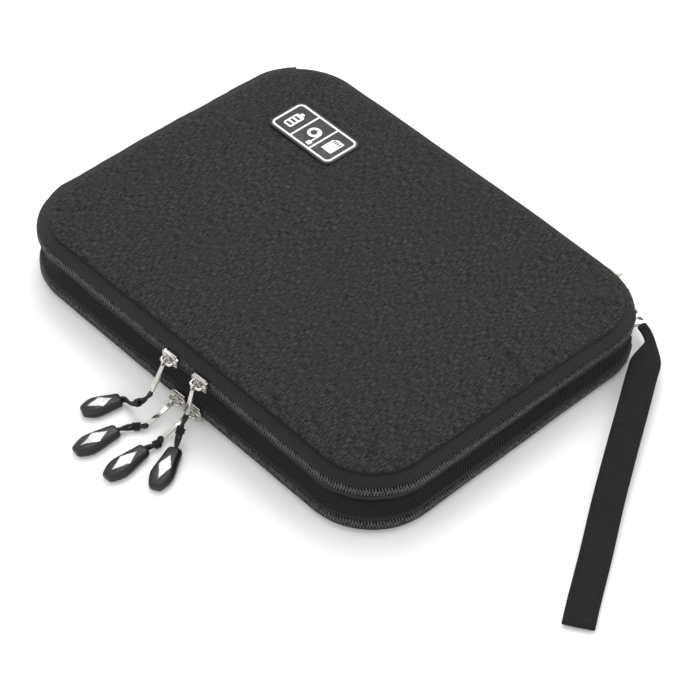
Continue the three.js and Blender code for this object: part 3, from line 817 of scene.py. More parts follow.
class POUCH_OT_stage(bpy.types.Operator):
    """Adds the floor, the soft light and the camera"""
    bl_idname = "pouch.stage"
    bl_label = "Studio"

    def execute(self, context):
        studio = context.scene.pouch_studio
        self.camera(context, studio)
        floor = Shell()
        reach = 6.0
        floor.rings([[Vector((-reach, -reach, -0.0002)), Vector((reach, -reach, -0.0002))],
                     [Vector((-reach, reach, -0.0002)), Vector((reach, reach, -0.0002))]],
                    caps=False)
        floor.faces = [(0, 1, 3, 2)]
        paper = floor.piece("studio_floor", None, finish("floor"))
        self.light(context, studio)
        return {"FINISHED"}

    def camera(self, context, studio):
        a, e, r = CAMERA_AZIMUTH, CAMERA_ELEVATION, CAMERA_ROLL
        back = Vector((math.sin(a) * math.cos(e), -math.cos(a) * math.cos(e), math.sin(e)))
        right = Vector((math.cos(a), math.sin(a), 0))
        up = back.cross(right)
        rolled_right = right * math.cos(r) + up * math.sin(r)
        rolled_up = up * math.cos(r) - right * math.sin(r)
        data = bpy.data.cameras.new("Studio Camera")
        data.lens = studio.lens
        data.sensor_width = 36
        data.clip_start = 0.01
        camera = bpy.data.objects.new("Studio Camera", data)
        turn = Matrix((rolled_right, rolled_up, back)).transposed().to_4x4()
        camera.matrix_world = Matrix.Translation(CAMERA_PLACE) @ turn
        context.scene.collection.objects.link(camera)
        context.scene.camera = camera

    def light(self, context, studio):
        world = bpy.data.worlds.new("Studio Sky")
        world.use_nodes = True
        world.node_tree.nodes["Background"].inputs["Color"].default_value = (1, 1, 1, 1)
        world.node_tree.nodes["Background"].inputs["Strength"].default_value = studio.sky
        context.scene.world = world
        context.scene.view_settings.view_transform = "Standard"
        for name, place, size, power in (
                ("Overhead Softbox", (-0.45, 0.55, 1.15), 0.9, studio.key),
                ("Front Softbox", (0.5, -1.0, 0.7), 0.7, studio.key * 0.25)):
            data = bpy.data.lights.new(name, "AREA")
            data.shape = "DISK"
            data.size = size
            data.energy = power
            lamp = bpy.data.objects.new(name, data)
            lamp.location = place
            lamp.rotation_euler = (-Vector(place)).to_track_quat("-Z", "Y").to_euler()
            context.scene.collection.objects.link(lamp)


# ---- Pull cords and toggles -----------------------------------------------------------------

# Each pull: where its slider starts along X, which zip, how far its tab stands out, its cord's
# route chosen from the tab to the toggle's mouth, and the toggle from mouth to tip.
PULLS = {
    "upper_left": {
        "slider": -7.9, "zip": "upper", "out": 32,
        "cord": [(-3, -106.2, 14.3), (-5, -108.6, 10.5), (-8.5, -110, 6.6),
                 (-12.5, -110.2, 3.8), (-16.6, -110.4, 2.9)],
        "toggle": ((-17.7, -111.4), (-23.7, -128.6))},
    "lower_left": {
        "slider": -3.4, "zip": "lower", "out": 76,
        "cord": [(1.4, -113.3, 2.4), (-0.4, -115.2, 2), (-2.6, -118.5, 2.2),
                 (-4.6, -123.4, 2.6)],
        "toggle": ((-4.9, -124.1), (-7.4, -145.6))},
    "lower_right": {
        "slider": 6.7, "zip": "lower", "out": 76,
        "cord": [(11.6, -113.3, 2.4), (12.6, -115.2, 2), (12.4, -118, 2.2),
                 (11.8, -121.6, 2.6)],
        "toggle": ((11.8, -122.3), (13, -145))},
    "upper_right": {
        "slider": 11.4, "zip": "upper", "out": 18,
        "cord": [(16.3, -102.6, 12.7), (16.4, -104.8, 9), (17.4, -107.6, 5.4),
                 (18.8, -110, 3.4), (20.4, -112, 2.8)],
        "toggle": ((20.8, -112.7), (31.6, -133.6))},
}
SLIDER_LENGTH = 9.8 * MM
BAIL_OUT = 4.95 * MM
TAB_LENGTH = 15 * MM
INTO_TOGGLE = 5.5 * MM


def zip_height(sizes, which):
    return sizes.upper_zip if which == "upper" else sizes.lower_zip


class POUCH_OT_cords(bpy.types.Operator):
    """Adds the doubled pull cords with their knots"""
    bl_idname = "pouch.cords"
    bl_label = "Pull cords"

    def execute(self, context):
        sizes = context.scene.pouch_sizes
        for name, pull in PULLS.items():
            self.cord(name, pull, sizes)
        return {"FINISHED"}

    def cord(self, name, pull, sizes):
        strand = sizes.strand
        (mx, my), (tx, ty) = pull["toggle"]
        way = Vector((tx - mx, ty - my, 0)).normalized()
        knots = [Vector(p) * MM for p in pull["cord"]]
        knots.append(knots[-1] + way * INTO_TOGGLE + Vector((0, 0, 0.1 * MM)))
        middle = spline(knots, 26)
        first, second = [], []
        count = len(middle) - 1
        twists = max(1, round(path_length(middle) / (11 * MM)))
        for i, point in enumerate(middle):
            before, after = middle[max(0, i - 1)], middle[min(count, i + 1)]
            tangent = (after - before).normalized()
            side = tangent.cross(UP)
            side = side.normalized() if side.length > 0.2 else Vector((1, 0, 0))
            lay = Matrix.Rotation(math.pi * twists * i / count, 3, tangent)
            apart = (lay @ side) * strand * 0.53
            first.append(point + apart)
            second.append(point - apart)
        way_out = (middle[0] - middle[1]).normalized()
        arm = (first[0] - second[0]) / 2
        bend = [middle[0] + arm * math.cos(a) + way_out * arm.length * math.sin(a)
                for a in (math.pi * k / 6 for k in range(1, 6))]
        route = list(reversed(first)) + bend + second
        data = bpy.data.curves.new(f"cord_{name}", "CURVE")
        data.dimensions = "3D"
        line = data.splines.new("POLY")
        line.points.add(len(route) - 1)
        for knot, point in zip(line.points, route):
            knot.co = (*point, 1)
        data.bevel_depth = strand / 2
        data.bevel_resolution = 3
        data.use_fill_caps = True
        data.materials.append(finish("cord"))
        made = bpy.data.objects.new(f"cord_{name}", data)
        bpy.context.scene.collection.objects.link(made)
        settle_piece(made, f"toggle_{name}", [f"pull_cord_{name}"])
        self.knot(name, middle, strand)

    def knot(self, name, middle, strand):
        """The cord's own wrapped knot, a few turns beside the tab."""
        at = 0.34 if name.startswith("upper") else 0.22
        centre = middle[round(at * (len(middle) - 1))]
        way = (middle[round(at * (len(middle) - 1)) + 1] - centre).normalized()
        side = way.cross(UP).normalized()
        top = side.cross(way)
        wrap = Shell()
        turns, radius, pitch = 2.4, strand * 0.98, strand * 0.82
        count = 44
        path = []
        for i in range(count + 1):
            angle = 2 * math.pi * turns * i / count
            along = (i / count - 0.5) * turns * pitch
            path.append(centre + way * along + side * radius * math.cos(angle)
                        + top * radius * 0.8 * math.sin(angle))
        wrap.tube(path, strand * 0.46, sides=8)
        return wrap.piece(f"knot_{name}", f"toggle_{name}", finish("cord"), "pull_cord")


# Half the width of a toggle and its share of full thickness, along its length from the mouth.
TOGGLE_SHAPE = [(0.0, 3.0, 0.70), (0.04, 3.5, 0.80), (0.3, 4.25, 0.95), (0.55, 5.15, 1.0),
                (0.68, 5.3, 1.0), (0.8, 4.75, 0.92), (0.91, 3.7, 0.78), (0.98, 2.9, 0.62),
                (1.0, 2.4, 0.45)]


def toggle_at(t):
    """Half width and thickness share at a share t of the toggle's length."""
    for (t0, w0, h0), (t1, w1, h1) in zip(TOGGLE_SHAPE, TOGGLE_SHAPE[1:]):
        if t <= t1:
            part = (t - t0) / (t1 - t0)
            return w0 + (w1 - w0) * part, h0 + (h1 - h0) * part
    return TOGGLE_SHAPE[-1][1:]


# A toggle's cross-section, as shares of half width and half thickness: flat with broad bevels.
TOGGLE_SECTION = [(1.0, -0.3), (1.0, 0.3), (0.9, 0.58), (0.6, 0.97), (0.5, 1.0), (-0.5, 1.0),
                  (-0.6, 0.97), (-0.9, 0.58), (-1.0, 0.3), (-1.0, -0.3), (-0.9, -0.62),
                  (-0.7, -0.95), (0.7, -0.95), (0.9, -0.62)]


class POUCH_OT_toggles(bpy.types.Operator):
    """Adds the moulded toggles with their glossy facets"""
    bl_idname = "pouch.toggles"
    bl_label = "Toggles"

    def execute(self, context):
        for name, pull in PULLS.items():
            (mx, my), (tx, ty) = pull["toggle"]
            length = math.hypot(tx - mx, ty - my) * MM
            turn = Matrix.Rotation(math.atan2(ty - my, tx - mx), 4, "Z")
            frame_of = Matrix.Translation(Vector((mx, my, 0)) * MM) @ turn
            self.moulding(name, length, frame_of)
            self.facet(name, length, frame_of)
        return {"FINISHED"}

    def moulding(self, name, length, frame_of):
        thick, low = 5.2 * MM, 0.08 * MM
        body = Shell()
        rings = []
        for i in range(41):
            t = i / 40
            half, share = toggle_at(t)
            middle = low + thick / 2 * (0.96 - 0.1 * (1 - share))
            rings.append([frame_of @ Vector((
                t * length, across * half * MM, middle + up * share * thick / 2 * 0.95))
                for across, up in TOGGLE_SECTION])
        body.rings(rings)
        made = body.piece(f"toggle_body_{name}", f"toggle_{name}", finish("toggle"),
                          "toggle_plastic", [f"toggle_{name}"])
        soften(made, 0.35 * MM)
        groove = Shell()
        for side in (-1, 1):
            groove.tube([frame_of @ Vector((t * length, side * toggle_at(t)[0] * 0.99 * MM,
                                            low + thick * 0.42))
                         for t in (0.05 + 0.9 * k / 24 for k in range(25))], 0.16 * MM, sides=6)
        groove.piece(f"toggle_parting_{name}", f"toggle_{name}", finish("toggle"),
                     "toggle_plastic")

    def facet(self, name, length, frame_of):
        """A large kite-shaped glossy face with a raised rim."""
        top = 5.16 * MM
        kite = [Vector((0.2 * length, 0, top)), Vector((0.5 * length, -3.1 * MM, top)),
                Vector((0.86 * length, 0, top)), Vector((0.5 * length, 3.1 * MM, top))]
        middle = sum(kite, Vector()) / 4
        rim = []
        for i in range(4):
            rim += [kite[i].lerp(kite[(i + 1) % 4], k / 5) for k in range(5)]
        levels = [(1.0, -0.8), (1.0, 0.08), (0.93, 0.16), (0.88, 0.06), (0.84, 0.0)]
        gem = Shell()
        gem.rings([[frame_of @ (middle.lerp(p, share) + UP * rise * MM) for p in rim]
                   for share, rise in levels])
        sharpen(gem.piece(f"toggle_facet_{name}", f"toggle_{name}", finish("facet"),
                          "toggle_plastic"), 8)


# ---- Covers and gussets ---------------------------------------------------------------------

LID_COVER = [(7.0, 33.9), (6.2, 34.2), (6.0, 34.7), (6.3, 35.15), (7.2, 35.5), (9, 35.85),
             (12, 36.2), (17, 36.6), (22, 36.8), (28, 36.95)]
LID_CROWN = 37.05
COVER_FLOOR = 33.65    # the cover never sinks onto the lining below this height
BOTTOM_COVER = [(8.4, 2.6), (7.6, 1.9), (7.4, 1.2), (8.0, 0.6), (9.4, 0.25), (12, 0.12),
                (17, 0.08), (22, 0.06), (28, 0.06)]
RING_GAP = 1.6 * MM


# Folds in the cover: where each starts, its heading in degrees, length, half width and depth, in
# millimetres.
CREASES = [(101, -74, 128, 24, 1.9, 1.7), (88, -83, 112, 16, 1.6, 1.3),
           (109, -60, 150, 18, 1.8, 1.3), (113, 8, 168, 34, 2.6, 1.6), (113, 30, 196, 22, 2.2, 1.2),
           (104, 72, 232, 24, 2.2, 1.3), (-100, -72, 52, 22, 2.4, 1.3),
           (-112, -20, 12, 24, 2.6, 1.0), (-96, 78, -48, 28, 2.6, 1.4), (52, -86, 96, 13, 1.6, 0.9),
           (-40, -86, 80, 12, 1.6, 0.7)]


def fold(point, x, y, heading, length, width, depth):
    """How far one fold drops (in its hollow) or lifts (beside it) the cloth at a point."""
    turn = math.radians(heading)
    away = point.xy / MM - Vector((x, y))
    along = away.x * math.cos(turn) + away.y * math.sin(turn)
    across = -away.x * math.sin(turn) + away.y * math.cos(turn)
    if not -4 < along < length:
        return 0.0
    fade = smooth(6, along + 4) * smooth(length * 0.7, length - along)
    spread = (across / width) ** 2
    return depth * fade * (0.55 * math.exp(-((abs(across) / width - 1.7) ** 2)) -
                           math.exp(-spread))


def cover_panel(outline, profile, crown, thickness, upward):
    """A sewn-in panel: rings that follow the outline and then shrink to the middle, with
    fine puckers at the seam and a low crown."""
    shell = Shell()
    around = steps(0, outline.around, RING_GAP)[:-1]

    def height(point, inset, z):
        near = math.exp(-((inset - 7) / 6) ** 2) if inset > 6.4 else 0.0
        pucker = noise.noise(Vector((point.x * 330, point.y * 330, 2.2))) * 0.34 * near
        pucker += sum(fold(point, *crease) for crease in CREASES)
        gentle = noise.noise(Vector((point.x * 24, point.y * 24, 8.8))) * 0.42
        gentle += noise.noise(Vector((point.x * 60, point.y * 60, 1.3))) * 0.14
        return z + pucker + gentle * smooth(14, inset - 7) if upward else z

    def ring(inset, z, shrink=1.0):
        placed = []
        for s in around:
            point, normal = outline.station(s)
            point = point - normal * inset * MM
            point = Vector((point.x * shrink, point.y * shrink, 0))
            point.z = height(point, inset, z) * MM * outline.wedge(point.y)
            if upward:
                rest = COVER_FLOOR * MM * outline.wedge(point.y)
                point = outline.settle(point)
                if inset > COVER_SOFT_FROM:
                    point.z = max(point.z, rest)
            placed.append(point)
        return placed
    last = profile[-1]
    rings = [ring(*level) for level in profile]
    for i in range(1, 41):
        share = i / 41
        level = last[1] + (crown - last[1]) * smooth(1, share * 1.6)
        rings.append(ring(last[0] + share * 20, level, 1 - share))
    under = [p - UP * thickness * MM if upward else p + UP * thickness * MM
             for p in rings[0]]
    inner = [Vector((p.x * 0.97, p.y * 0.97, p.z)) for p in under]
    if upward:
        for p in inner:
            p.z = COVER_FLOOR * MM * outline.wedge(p.y)
    whole = [inner, under] + rings
    shell.rings(whole)
    shell.cloth = [(p.x, p.y) for p in shell.points]
    return shell


class POUCH_OT_covers(bpy.types.Operator):
    """Adds the lid cover and the bottom cover"""
    bl_idname = "pouch.covers"
    bl_label = "Covers"

    def execute(self, context):
        outline = Outline(context.scene.pouch_sizes)
        lid = cover_panel(outline, LID_COVER, LID_CROWN, 0.9, True)
        made = lid.piece("lid_cover", "lid", finish("cover"), "cover_fabric", ["top_panel"])
        base = cover_panel(outline, BOTTOM_COVER, 0.06, 0.9, False)
        made = base.piece("base_cover", "bottom_cover", finish("cover"), "cover_fabric",
                          ["bottom_panel"])
        return {"FINISHED"}


# The outer lines of the gussets, from one edge to the other, as (inset, height) in millimetres.
GUSSETS = {
    "top_gusset": {
        "line": [(1.0, 30.45), (0.75, 30.6), (0.6, 31.0), (0.9, 31.5), (2.0, 32.15),
                 (3.4, 32.75), (4.8, 33.25), (5.8, 33.6), (6.4, 33.8)],
        "wall": 1.5, "body": "lid", "swell": 0.75, "node": "top_gusset"},
    "upper_waist": {
        "line": [(1.0, 25.5), (0.75, 25.2), (0.7, 24.5), (0.95, 23.8), (1.2, 23.2),
                 (1.0, 22.9), (1.4, 22.4), (2.4, 21.8), (4.0, 20.6), (5.4, 19.1),
                 (6.3, 17.9)],
        "wall": 1.1, "body": "middle_tray", "swell": 0.6, "node": "upper_waist_gusset"},
    "lower_waist": {
        "line": [(6.3, 15.1), (5.2, 13.7), (3.6, 12.1), (2.2, 11.1), (1.2, 10.7),
                 (1.0, 10.3), (0.8, 9.7), (0.7, 9.1), (1.0, 8.5)],
        "wall": 1.1, "body": "middle_tray", "swell": 0.5, "node": "lower_waist_gusset"},
    "base_gusset": {
        "line": [(1.0, 3.4), (0.8, 3.1), (0.9, 2.6), (1.8, 1.9), (3.4, 1.35), (5.2, 0.95),
                 (6.6, 0.8)],
        "wall": 1.6, "body": "bottom_cover", "swell": 0.15, "node": "bottom_gusset"},
}
SPINE_UPPER = [(6.4, 33.8), (5.2, 33.5), (3.4, 32.7), (1.8, 31.4), (0.9, 29.8), (0.7, 27.6),
               (0.8, 25), (0.95, 22), (1.1, 19), (1.25, 16.5), (1.35, 14.2)]
SPINE_LOWER = [(1.35, 14.1), (1.3, 12), (1.25, 9.6), (1.2, 7.4), (1.1, 5.6), (1.1, 4.0),
               (1.7, 2.6), (3.2, 1.6), (5.2, 1.0), (6.6, 0.8)]


def gusset_shell(outline, line, wall, swell, start, end, seed):
    """A band of cloth round the outline whose surface swells and wrinkles between its edges."""
    shell = Shell()
    rings = []
    count = len(line)
    for s in steps(start, end, 1.5 * MM):
        section = []
        for k, (inset, z) in enumerate(line):
            middle = math.sin(math.pi * k / (count - 1))
            fold = noise.noise(Vector((s * 75, k * 0.16, seed)))
            fine = noise.noise(Vector((s * 210, k * 0.3, seed + 5)))
            section.append((inset - swell * middle * (0.35 + fold + 0.3 * fine), z))
        closed = section + [(inset + wall, z) for inset, z in reversed(line)]
        rings.append([outline.place(s, inset * MM, z * MM) for inset, z in closed])
    shell.rings(rings)
    return shell


class POUCH_OT_gussets(bpy.types.Operator):
    """Adds the gussets beside the zips and the cloth of the spine"""
    bl_idname = "pouch.gussets"
    bl_label = "Gussets and spine"

    def execute(self, context):
        outline = Outline(context.scene.pouch_sizes)
        start, end = outline.spine_end, outline.spine_start + outline.around
        for seed, (name, g) in enumerate(GUSSETS.items()):
            shell = gusset_shell(outline, g["line"], g["wall"], g["swell"], start, end,
                                 11.3 * seed)
            shell.piece(name + "_cloth", g["body"], finish("gusset"), "gusset_fabric",
                        [g["node"]])
        self.spine(outline, "spine_upper_cloth", SPINE_UPPER, 61,
                   ("middle_tray", "lid"), (0, 0.092, 0.0195), (0, 0.092, 0.0262),
                   ["lid_spine_strip", "spine_panel"])
        self.spine(outline, "spine_lower_cloth", SPINE_LOWER, 83,
                   ("bottom_cover", "middle_tray"), (0, 0.092, 0.0026), (0, 0.092, 0.0072),
                   ["bottom_spine_strip"])
        self.bindings(outline)
        return {"FINISHED"}

    def spine(self, outline, name, line, seed, bodies, low, high, nodes):
        shell = gusset_shell(outline, line, 1.2, 0.1, outline.spine_start, outline.spine_end,
                             seed)
        made = shell.piece(name, None, finish("cover"), "cover_fabric", nodes)
        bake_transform(made)

    def bindings(self, outline):
        """The thin rolled edges where the cover seams meet the gussets."""
        whole = steps(0, outline.around, 1.6 * MM)[:-1]
        for name, inset, z, body, radius in (
                ("lid_seam", 6.2, 34.05, "lid", 0.62),
                ("base_seam", 7.0, 1.15, "bottom_cover", 0.5)):
            cord = Shell()
            path = [outline.place(s, inset * MM, z * MM) for s in whole]
            cord.tube(path, radius * MM, sides=8, closed=True)
            cord.piece(name, body, finish("gusset"), "gusset_fabric")


# ---- Zips -----------------------------------------------------------------------------------

# One coil turn seen from outside: distance along the zip, height from the zip's middle on its
# own side, and inset, in millimetres.
COIL_TURN = [(-0.22, 2.2, 1.5), (-0.2, 2.02, 0.72), (-0.1, 1.5, 0.5), (0.06, 0.75, 0.46),
             (0.2, 0.12, 0.56), (0.24, -0.12, 1.1)]
COIL_RADII = [0.4, 0.46, 0.47, 0.48, 0.5, 0.42]


class POUCH_OT_zips(bpy.types.Operator):
    """Adds the zip coils, turn by turn, and the tapes behind them"""
    bl_idname = "pouch.zips"
    bl_label = "Zips"

    def execute(self, context):
        sizes = context.scene.pouch_sizes
        outline = Outline(sizes)
        halves = (
            ("lower_coil_cover", "lower_tape_cover", sizes.lower_zip, -1, "bottom_cover"),
            ("lower_coil_tray", "lower_tape_tray", sizes.lower_zip, 1, "middle_tray"),
            ("upper_coil_tray", "upper_tape_tray", sizes.upper_zip, -1, "middle_tray"),
            ("upper_coil_lid", "upper_tape_lid", sizes.upper_zip, 1, "lid"))
        for coil, tape, height, side, body in halves:
            self.coil(outline, sizes, coil, height, side, body)
            self.tape(outline, tape, height, side, body)
        return {"FINISHED"}

    def coil(self, outline, sizes, node, height, side, body):
        turns = Shell()
        start, end = outline.spine_end, outline.spine_start + outline.around
        offset = 0.25 if side > 0 else 0.75
        count = int((end - start) / sizes.tooth_pitch) - 1
        for i in range(count):
            s = start + (i + offset + 0.5) * sizes.tooth_pitch
            path = [outline.place(s + along * MM, inset * MM, height + side * up * MM)
                    for along, up, inset in COIL_TURN]
            turns.tube(path, [r * MM for r in COIL_RADII], sides=6)
        turns.piece(node + "_turns", body, finish("coil"), "zip_coil", [node])

    def tape(self, outline, node, height, side, body):
        tape = Shell()
        start, end = outline.spine_end, outline.spine_start + outline.around
        line = [(1.6, 2.75), (1.45, 2.2), (1.55, 1.4), (1.8, 0.55), (2.2, 0.3)]
        section = line + [(i + 0.6, z) for i, z in reversed(line)]
        rings = [[outline.place(s, inset * MM, height + side * up * MM) for inset, up in section]
                 for s in steps(start, end, 2 * MM)]
        tape.rings(rings)
        tape.piece(node + "_cloth", body, finish("tape"), "zip_tape", [node])


# ---- Sliders and tabs -----------------------------------------------------------------------

class POUCH_OT_sliders(bpy.types.Operator):
    """Adds the plated sliders and their hanging tabs"""
    bl_idname = "pouch.sliders"
    bl_label = "Sliders and tabs"

    def execute(self, context):
        sizes = context.scene.pouch_sizes
        for name, pull in PULLS.items():
            z = zip_height(sizes, pull["zip"])
            start = pull["slider"] * MM
            self.slider(name, start, z, -sizes.depth / 2)
            self.tab(name, start + SLIDER_LENGTH / 2, z, -sizes.depth / 2, pull["out"])
        return {"FINISHED"}

    def slider(self, name, start, z, front):
        facing = Matrix.Translation((start, front, z)) @ Matrix(
            ((1, 0, 0, 0), (0, 0, -1, 0), (0, 1, 0, 0), (0, 0, 0, 1)))
        flared = [(0.2, -1.9), (1.8, -2.5), (5.2, -2.85), (8.6, -3.3), (9.5, -2.6), (9.7, 0),
                  (9.5, 2.6), (8.6, 3.3), (5.2, 2.85), (1.8, 2.5), (0.2, 1.9), (0.05, 0)]
        if name.endswith("left"):
            flared = [(9.8 - x, y) for x, y in reversed(flared)]
        body = Shell()
        body.plate([(x * MM, y * MM) for x, y in flared], 0.75 * MM, 2.3 * MM, 0.35 * MM, facing)
        for side in (-1, 1):
            flange = [facing @ Vector((x * MM, side * y * MM, w * MM)) for x, y, w in (
                (1.2, 2.75, 1.3), (3.4, 3.0, 1.2), (6.4, 3.15, 1.2), (8.8, 3.35, 1.3))]
            body.tube(spline(flange, 12), 0.5 * MM, sides=8)
        middle = SLIDER_LENGTH / 2 / MM
        arch = [facing @ p for p in (
            Vector((middle - 3.1, 0, 1.9)) * MM, Vector((middle - 3.15, 0, 3.2)) * MM,
            Vector((middle - 2.9, 0, 4.3)) * MM, Vector((middle - 2.1, 0, 4.9)) * MM,
            Vector((middle, 0, 5.0)) * MM, Vector((middle + 2.1, 0, 4.9)) * MM,
            Vector((middle + 2.9, 0, 4.3)) * MM, Vector((middle + 3.15, 0, 3.2)) * MM,
            Vector((middle + 3.1, 0, 1.9)) * MM)]
        body.tube(spline(arch, 30), 0.62 * MM, sides=10)
        for x in (middle - 3.1, middle + 3.1):
            body.tube([facing @ Vector((x * MM, 0, w * MM)) for w in (1.9, 2.2, 2.65, 2.75)],
                      [1.25 * MM, 1.2 * MM, 0.95 * MM, 0.7 * MM], sides=12)
        sharpen(body.piece(f"slider_metal_{name}", f"slider_{name}", finish("nickel"), "nickel",
                           [f"slider_{name}"]), 40)

    def tab(self, name, middle, z, front, out):
        """An eye round the bail and a thin waisted blade."""
        angle = math.radians(-90 - out)
        hang = (Matrix.Translation((middle, front - BAIL_OUT, z))
                @ Matrix.Rotation(angle, 4, "X"))
        tab = Shell()
        eye = [hang @ Vector((0, 1.62 * MM * math.cos(a), 1.62 * MM * math.sin(a)))
               for a in (2 * math.pi * k / 24 for k in range(24))]
        tab.tube(eye, 0.42 * MM, sides=8, closed=True, up=Vector((1, 0, 0)), flat=1)
        length = TAB_LENGTH / MM
        outline = [(-1.0, 1.5), (-1.05, length - 0.5), (-0.7, length), (0.7, length),
                   (1.05, length - 0.5), (1.0, 1.5)]
        tab.plate([(x * MM, y * MM) for x, y in outline], -0.55 * MM, 0.55 * MM, 0.2 * MM, hang)
        sharpen(tab.piece(f"tab_{name}", f"pull_tab_{name}", finish("nickel"), "nickel",
                          [f"pull_tab_{name}"]), 40)


# ---- Label ----------------------------------------------------------------------------------

LABEL_LENGTH, LABEL_WIDTH = 42 * MM, 23 * MM


def rounded(length, width, radius, count=8):
    """A counter-clockwise rounded rectangle round the origin."""
    x, y = length / 2 - radius, width / 2 - radius
    corners = ((x, y, 0), (-x, y, 90), (-x, -y, 180), (x, -y, 270))
    return [(cx + radius * math.cos(math.radians(first + 90 * i / count)),
             cy + radius * math.sin(math.radians(first + 90 * i / count)))
            for cx, cy, first in corners for i in range(count + 1)]


class POUCH_OT_label(bpy.types.Operator):
    """Adds the rubber label with its raised border and pictures"""
    bl_idname = "pouch.label"
    bl_label = "Label"

    def execute(self, context):
        outline = Outline(context.scene.pouch_sizes)
        low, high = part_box("label_patch")
        centre = Vector(((low[0] + high[0]) / 2, (low[1] + high[1]) / 2, 0))
        self.lie(outline, centre)
        patch = Shell()
        patch.plate(rounded(LABEL_LENGTH, LABEL_WIDTH, 4 * MM), 0, 1.15 * MM, 0.4 * MM, self.flat)
        patch.piece("label_rubber_patch", "lid", finish("rubber"), "label_rubber",
                    ["label_patch"])
        groove = Shell()
        groove.tube([self.flat @ Vector((x, y, 1.1 * MM)) for x, y in
                     rounded(LABEL_LENGTH - 1.6 * MM, LABEL_WIDTH - 1.6 * MM, 3.3 * MM)],
                    0.14 * MM, sides=6, closed=True)
        groove.piece("label_stitch_groove", "lid", finish("rubber"), "label_rubber")
        self.border()
        self.pictures()
        return {"FINISHED"}

    def lie(self, outline, centre):
        """The label lies on the cover, tilted with the lid's taper."""
        here = Vector((centre.x, centre.y, 37.0 * MM * outline.wedge(centre.y)))
        there = Vector((centre.x, centre.y + 5 * MM,
                        37.0 * MM * outline.wedge(centre.y + 5 * MM)))
        here, there = outline.settle(here), outline.settle(there)
        y = (there - here).normalized()
        x = Vector((1, 0, 0))
        z = x.cross(y).normalized()
        self.flat = Matrix.Translation(here + z * 0.15 * MM) @ Matrix(
            (x, y, z)).transposed().to_4x4()

    def border(self):
        lines = Shell()
        loop = [self.flat @ Vector((x, y, 1.2 * MM)) for x, y in
                rounded(LABEL_LENGTH - 3.6 * MM, LABEL_WIDTH - 3.6 * MM, 2.6 * MM)]
        lines.tube(loop, 0.62 * MM, sides=8, closed=True, flat=0.5)
        for x in (-6.4 * MM, 6.4 * MM):
            bar = [self.flat @ Vector((x, y, 1.2 * MM))
                   for y in steps(-(LABEL_WIDTH / 2 - 1.9 * MM), LABEL_WIDTH / 2 - 1.9 * MM,
                                  3 * MM)]
            lines.tube(bar, 0.55 * MM, sides=8, flat=0.5)
        lines.piece("label_lines", "lid", finish("print"), "label_white", ["label_border"])

    def pictures(self):
        art = Shell()

        def shape(points, x, y):
            art.plate([((x + px) * MM, (y + py) * MM) for px, py in points],
                      1.1 * MM, 1.42 * MM, 0.08 * MM, self.flat)
        battery = [(px, py) for px, py in rounded(5.2, 9.5, 1.0, 4)]
        shape(battery, -12.8, -1.2)
        shape(rounded(2.2, 1.3, 0.4, 3), -12.8, 4.5)
        coil = [self.flat @ Vector((3.4 * math.cos(a) * (1 - a / 30) * MM,
                                    3.4 * math.sin(a) * (1 - a / 30) * MM, 1.22 * MM))
                for a in (2 * math.pi * 2.2 * i / 60 for i in range(61))]
        tail = [self.flat @ (Vector((3.4, 0, 1.22)) * MM + Vector((0, -k * MM, 0)))
                for k in (0.1, 2, 4, 6)]
        art.tube(coil, 0.5 * MM, sides=6, flat=0.6)
        art.tube(tail, 0.5 * MM, sides=6, flat=0.6)
        shape(rounded(2.4, 2.6, 0.4, 3), 3.4, -6.6)
        card = [(-3.2, -4.6), (3.2, -4.6), (3.2, 4.6), (-1.2, 4.6), (-3.2, 2.6)]
        shape(card, 12.8, 0)
        art.piece("label_pictures", "lid", finish("print"), "label_white")
        notes = Shell()
        for i in range(4):
            notes.plate([((12.8 - 1.6 + i * 1.2 + px) * MM, (2.6 + py) * MM)
                         for px, py in rounded(0.6, 1.8, 0.2, 2)], 1.38 * MM, 1.5 * MM, 0,
                        self.flat)
        for k in range(3):
            notes.plate([((-12.8 + px) * MM, (-4.2 + 2.6 * k + py) * MM)
                         for px, py in rounded(3.4, 1.2, 0.2, 2)], 1.38 * MM, 1.5 * MM, 0,
                        self.flat)
        notes.piece("label_picture_marks", "lid", finish("rubber"), "label_rubber")


# ---- Ring, clasp and wrist strap ------------------------------------------------------------

# The strap's route, chosen from the clasp out, in millimetres.
STRAP_ROUTE = [
    (110.4, 87.8, 8.5), (114.1, 86.5, 8.6), (119.5, 83.1, 8.8), (123.5, 77.9, 9),
    (127.5, 71.1, 8.9), (131.9, 63.3, 8.5), (139.9, 50.1, 7.8), (153.8, 26.7, 6.2),
    (168.2, 2.9, 4.3), (182.4, -19.4, 2.6), (196.2, -41.8, 1.7), (203.4, -53, 2)]
NECK_WIDTH = 4.4 * MM
NECK_END, FULL_WIDTH_AT = 0.05, 0.15


def strap_half(width, share):
    """Half the strap's width at a share of its route: a narrow neck, then full."""
    grown = smooth(FULL_WIDTH_AT - NECK_END, share - NECK_END)
    return (NECK_WIDTH + (width - NECK_WIDTH) * grown) / 2


